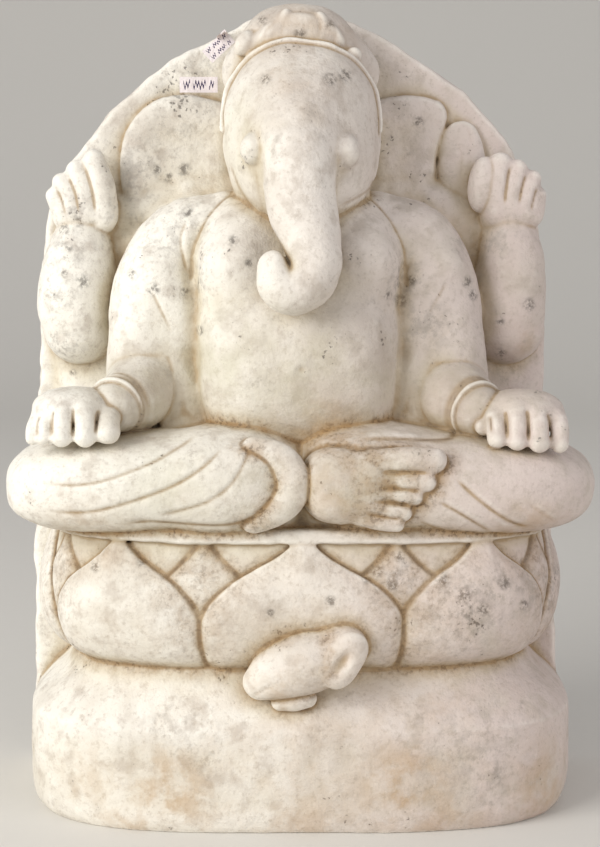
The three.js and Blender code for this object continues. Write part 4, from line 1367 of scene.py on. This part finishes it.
def paper_material(pen_rows):
    """Aged label paper with rows of generic pen squiggles."""
    p = Paint("label_paper")
    sheet = p.add("SeparateXYZ", Vector=p.add("UVMap", {"uv_map": "sheet"}).outputs[0])
    u, v = sheet.outputs[0], sheet.outputs[1]
    wave = p.times(p.math("SINE", p.times(u, 78.0)), 0.16)
    wave = p.plus(wave, p.times(p.math("SINE", p.times(u, 31.0)), 0.07))
    row = p.math("FRACT", p.times(v, float(pen_rows)))
    off_line = p.math("ABSOLUTE", p.math("SUBTRACT", p.math("SUBTRACT", row, 0.5), wave))
    on_line = p.math("LESS_THAN", off_line, 0.12)
    inside_margin = p.math("LESS_THAN", p.math("ABSOLUTE", p.math("SUBTRACT", u, 0.5)), 0.4)
    in_word = p.math("GREATER_THAN", p.math("SINE", p.times(u, 15.0)), -0.8)
    pen = p.times(p.times(on_line, inside_margin), in_word)
    fibres = p.noise(700, 4)
    aged = p.mix(fibres, tint("efe8e8"), tint("dcd0d0"))
    p.plug(p.shader.inputs["Base Color"], p.mix(pen, aged, tint("3b2f52")))
    p.plug(p.shader.inputs["Roughness"], p.ramp(fibres, 0.3, 0.7, 0.78, 0.92, soft=False))
    p.bump(fibres, 0.3, 0.0002)
    return p.material


marble = marble_material()
for name in STONE:
    stone_piece(name, marble)

# ---------------------------------------------------------------- paper labels

PAPER_THICKNESS = 0.5
PAPER_SINK = 0.25  # how deep the paper's rear lies in the stone's rough face
PAPER_DROP = 1.6  # the stiff paper goes no farther back than this where the slab's edge rounds off
# node: its centre's place across and up its box, width, height, turn in degrees, rows of pen
LABELS = {
    "paper_label_lower": ((0.5, 0.5), 27, 11, 0, 1),
    "paper_label_upper": ((0.6, 0.85), 22, 11, 42, 2),
}


def stone_front(x, z):
    """The depth of the stone's first surface behind each place of the front plane."""
    y = np.arange(SLAB_FRONT - 6, SLAB_FRONT + 6, 0.2)
    places = np.stack(np.broadcast_arrays(x[:, None], y[None, :], z[:, None]), -1)
    inside = sample(field, places.reshape(-1, 3)).reshape(len(x), len(y)) < 0
    return y[np.argmax(inside, axis=1)]


def label_piece(name):
    """A closed sheet of paper that follows the slab's face."""
    share, width, height, turn, rows = LABELS[name]
    centre = at(name, share[0], 0.5, share[1])
    c, s = cos(radians(turn)), sin(radians(turn))
    columns, lines = 28, 12
    u, v = (g.ravel() for g in np.meshgrid(np.linspace(0, 1, columns), np.linspace(0, 1, lines)))
    across, up = (u - 0.5) * width, (v - 0.5) * height
    x, z = centre[0] + across * c - up * s, centre[2] + across * s + up * c
    back = np.minimum(stone_front(x, z) + PAPER_SINK, SLAB_FRONT + PAPER_DROP)
    count = len(u)
    front = np.stack([x, back - PAPER_THICKNESS, z], 1)
    rear = np.stack([x, back, z], 1)
    grid = np.arange(count).reshape(lines, columns)
    a, b, d, e = (g.ravel() for g in (grid[:-1, :-1], grid[:-1, 1:], grid[1:, 1:], grid[1:, :-1]))
    faces = [*np.stack([a, b, d, e], 1), *(np.stack([e, d, b, a], 1) + count)]
    rim = [*grid[0, :], *grid[1:, -1], *grid[-1, -2::-1], *grid[-2:0:-1, 0]]
    faces += [(p, p + count, q + count, q) for p, q in zip(rim, rim[1:] + rim[:1])]
    mesh = bpy.data.meshes.new(name)
    mesh.from_pydata(np.vstack([front, rear]) / MM, [], [tuple(map(int, face)) for face in faces])
    sheet = mesh.uv_layers.new(name="sheet")
    for loop in mesh.loops:
        i = loop.vertex_index % count
        sheet.data[loop.index].uv = (u[i], v[i])
    mesh.materials.append(paper_material(rows))
    piece = bpy.data.objects.new(f"stuck_{name}", mesh)
    bpy.context.collection.objects.link(piece)
    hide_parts(name)
    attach(piece, "root")


for name in LABELS:
    label_piece(name)

# ---------------------------------------------------------------- stage, light and camera


def floor_material():
    """Pale, matt backdrop paper."""
    p = Paint("pale_paper_floor")
    p.shader.inputs["Base Color"].default_value = tint("d9d6cf")
    p.plug(p.shader.inputs["Roughness"], p.ramp(p.noise(90, 5), 0.3, 0.7, 0.75, 0.9, soft=False))
    return p.material


def stage():
    """A pale sheet that lies under the idol and curves up behind it."""
    width, front, back, bend, top = 5.0, -4.0, 3.6, 1.4, 4.5
    profile = [(front, 0.0), (back - bend, 0.0)]
    profile += [
        (back - bend + bend * sin(radians(a)), bend - bend * cos(radians(a))) for a in range(10, 91, 10)
    ]
    profile.append((back, top))
    points = [(x, y, z) for y, z in profile for x in (-width, width)]
    faces = [(2 * i, 2 * i + 1, 2 * i + 3, 2 * i + 2) for i in range(len(profile) - 1)]
    mesh = bpy.data.meshes.new("floor")
    mesh.from_pydata(points, [], faces)
    for face in mesh.polygons:
        face.use_smooth = True
    mesh.materials.append(floor_material())
    floor = bpy.data.objects.new("floor", mesh)
    bpy.context.collection.objects.link(floor)
    floor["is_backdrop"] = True


SOFTBOX_SIZE = 1.6
# name: place, watts, colour
SOFTBOXES = {
    "key": ((-1.95, -1.45, 1.25), 64, (1.0, 0.985, 0.965)),
    "fill": ((1.7, -1.4, 0.7), 14, (1.0, 0.96, 0.98)),
}
SKY_COLOUR = (0.97, 0.97, 1.0, 1.0)
SKY_STRENGTH = 0.5
CAMERA_PLACE = (0.0, -1.25, 0.43)
CAMERA_LENS = 76.65
CAMERA_TILT = 82.637  # degrees up from looking straight down


def softbox(name, target):
    """A square soft light that faces the idol."""
    place, watts, colour = SOFTBOXES[name]
    light = bpy.data.lights.new(name, "AREA")
    light.size = SOFTBOX_SIZE
    light.energy = watts
    light.color = colour
    lamp = bpy.data.objects.new(name, light)
    lamp.location = place
    lamp.rotation_euler = (target - lamp.location).to_track_quat("-Z", "Y").to_euler()
    bpy.context.collection.objects.link(lamp)


def sky():
    """Even, pale light from all round."""
    world = bpy.data.worlds.new("studio")
    world.use_nodes = True
    background = world.node_tree.nodes["Background"]
    background.inputs[0].default_value = SKY_COLOUR
    background.inputs[1].default_value = SKY_STRENGTH
    bpy.context.scene.world = world


def camera():
    """A camera a little above the idol's middle, looking slightly down at it."""
    made = bpy.data.objects.new("camera", bpy.data.cameras.new("camera"))
    made.data.lens = CAMERA_LENS
    made.location = CAMERA_PLACE
    made.rotation_euler = (radians(CAMERA_TILT), 0, 0)
    bpy.context.collection.objects.link(made)
    bpy.context.scene.camera = made
    bpy.context.scene.view_settings.view_transform = "Standard"


stage()
slab_low, slab_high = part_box("back_slab")
for name in SOFTBOXES:
    softbox(name, (slab_low + slab_high) / 2)
sky()
camera()
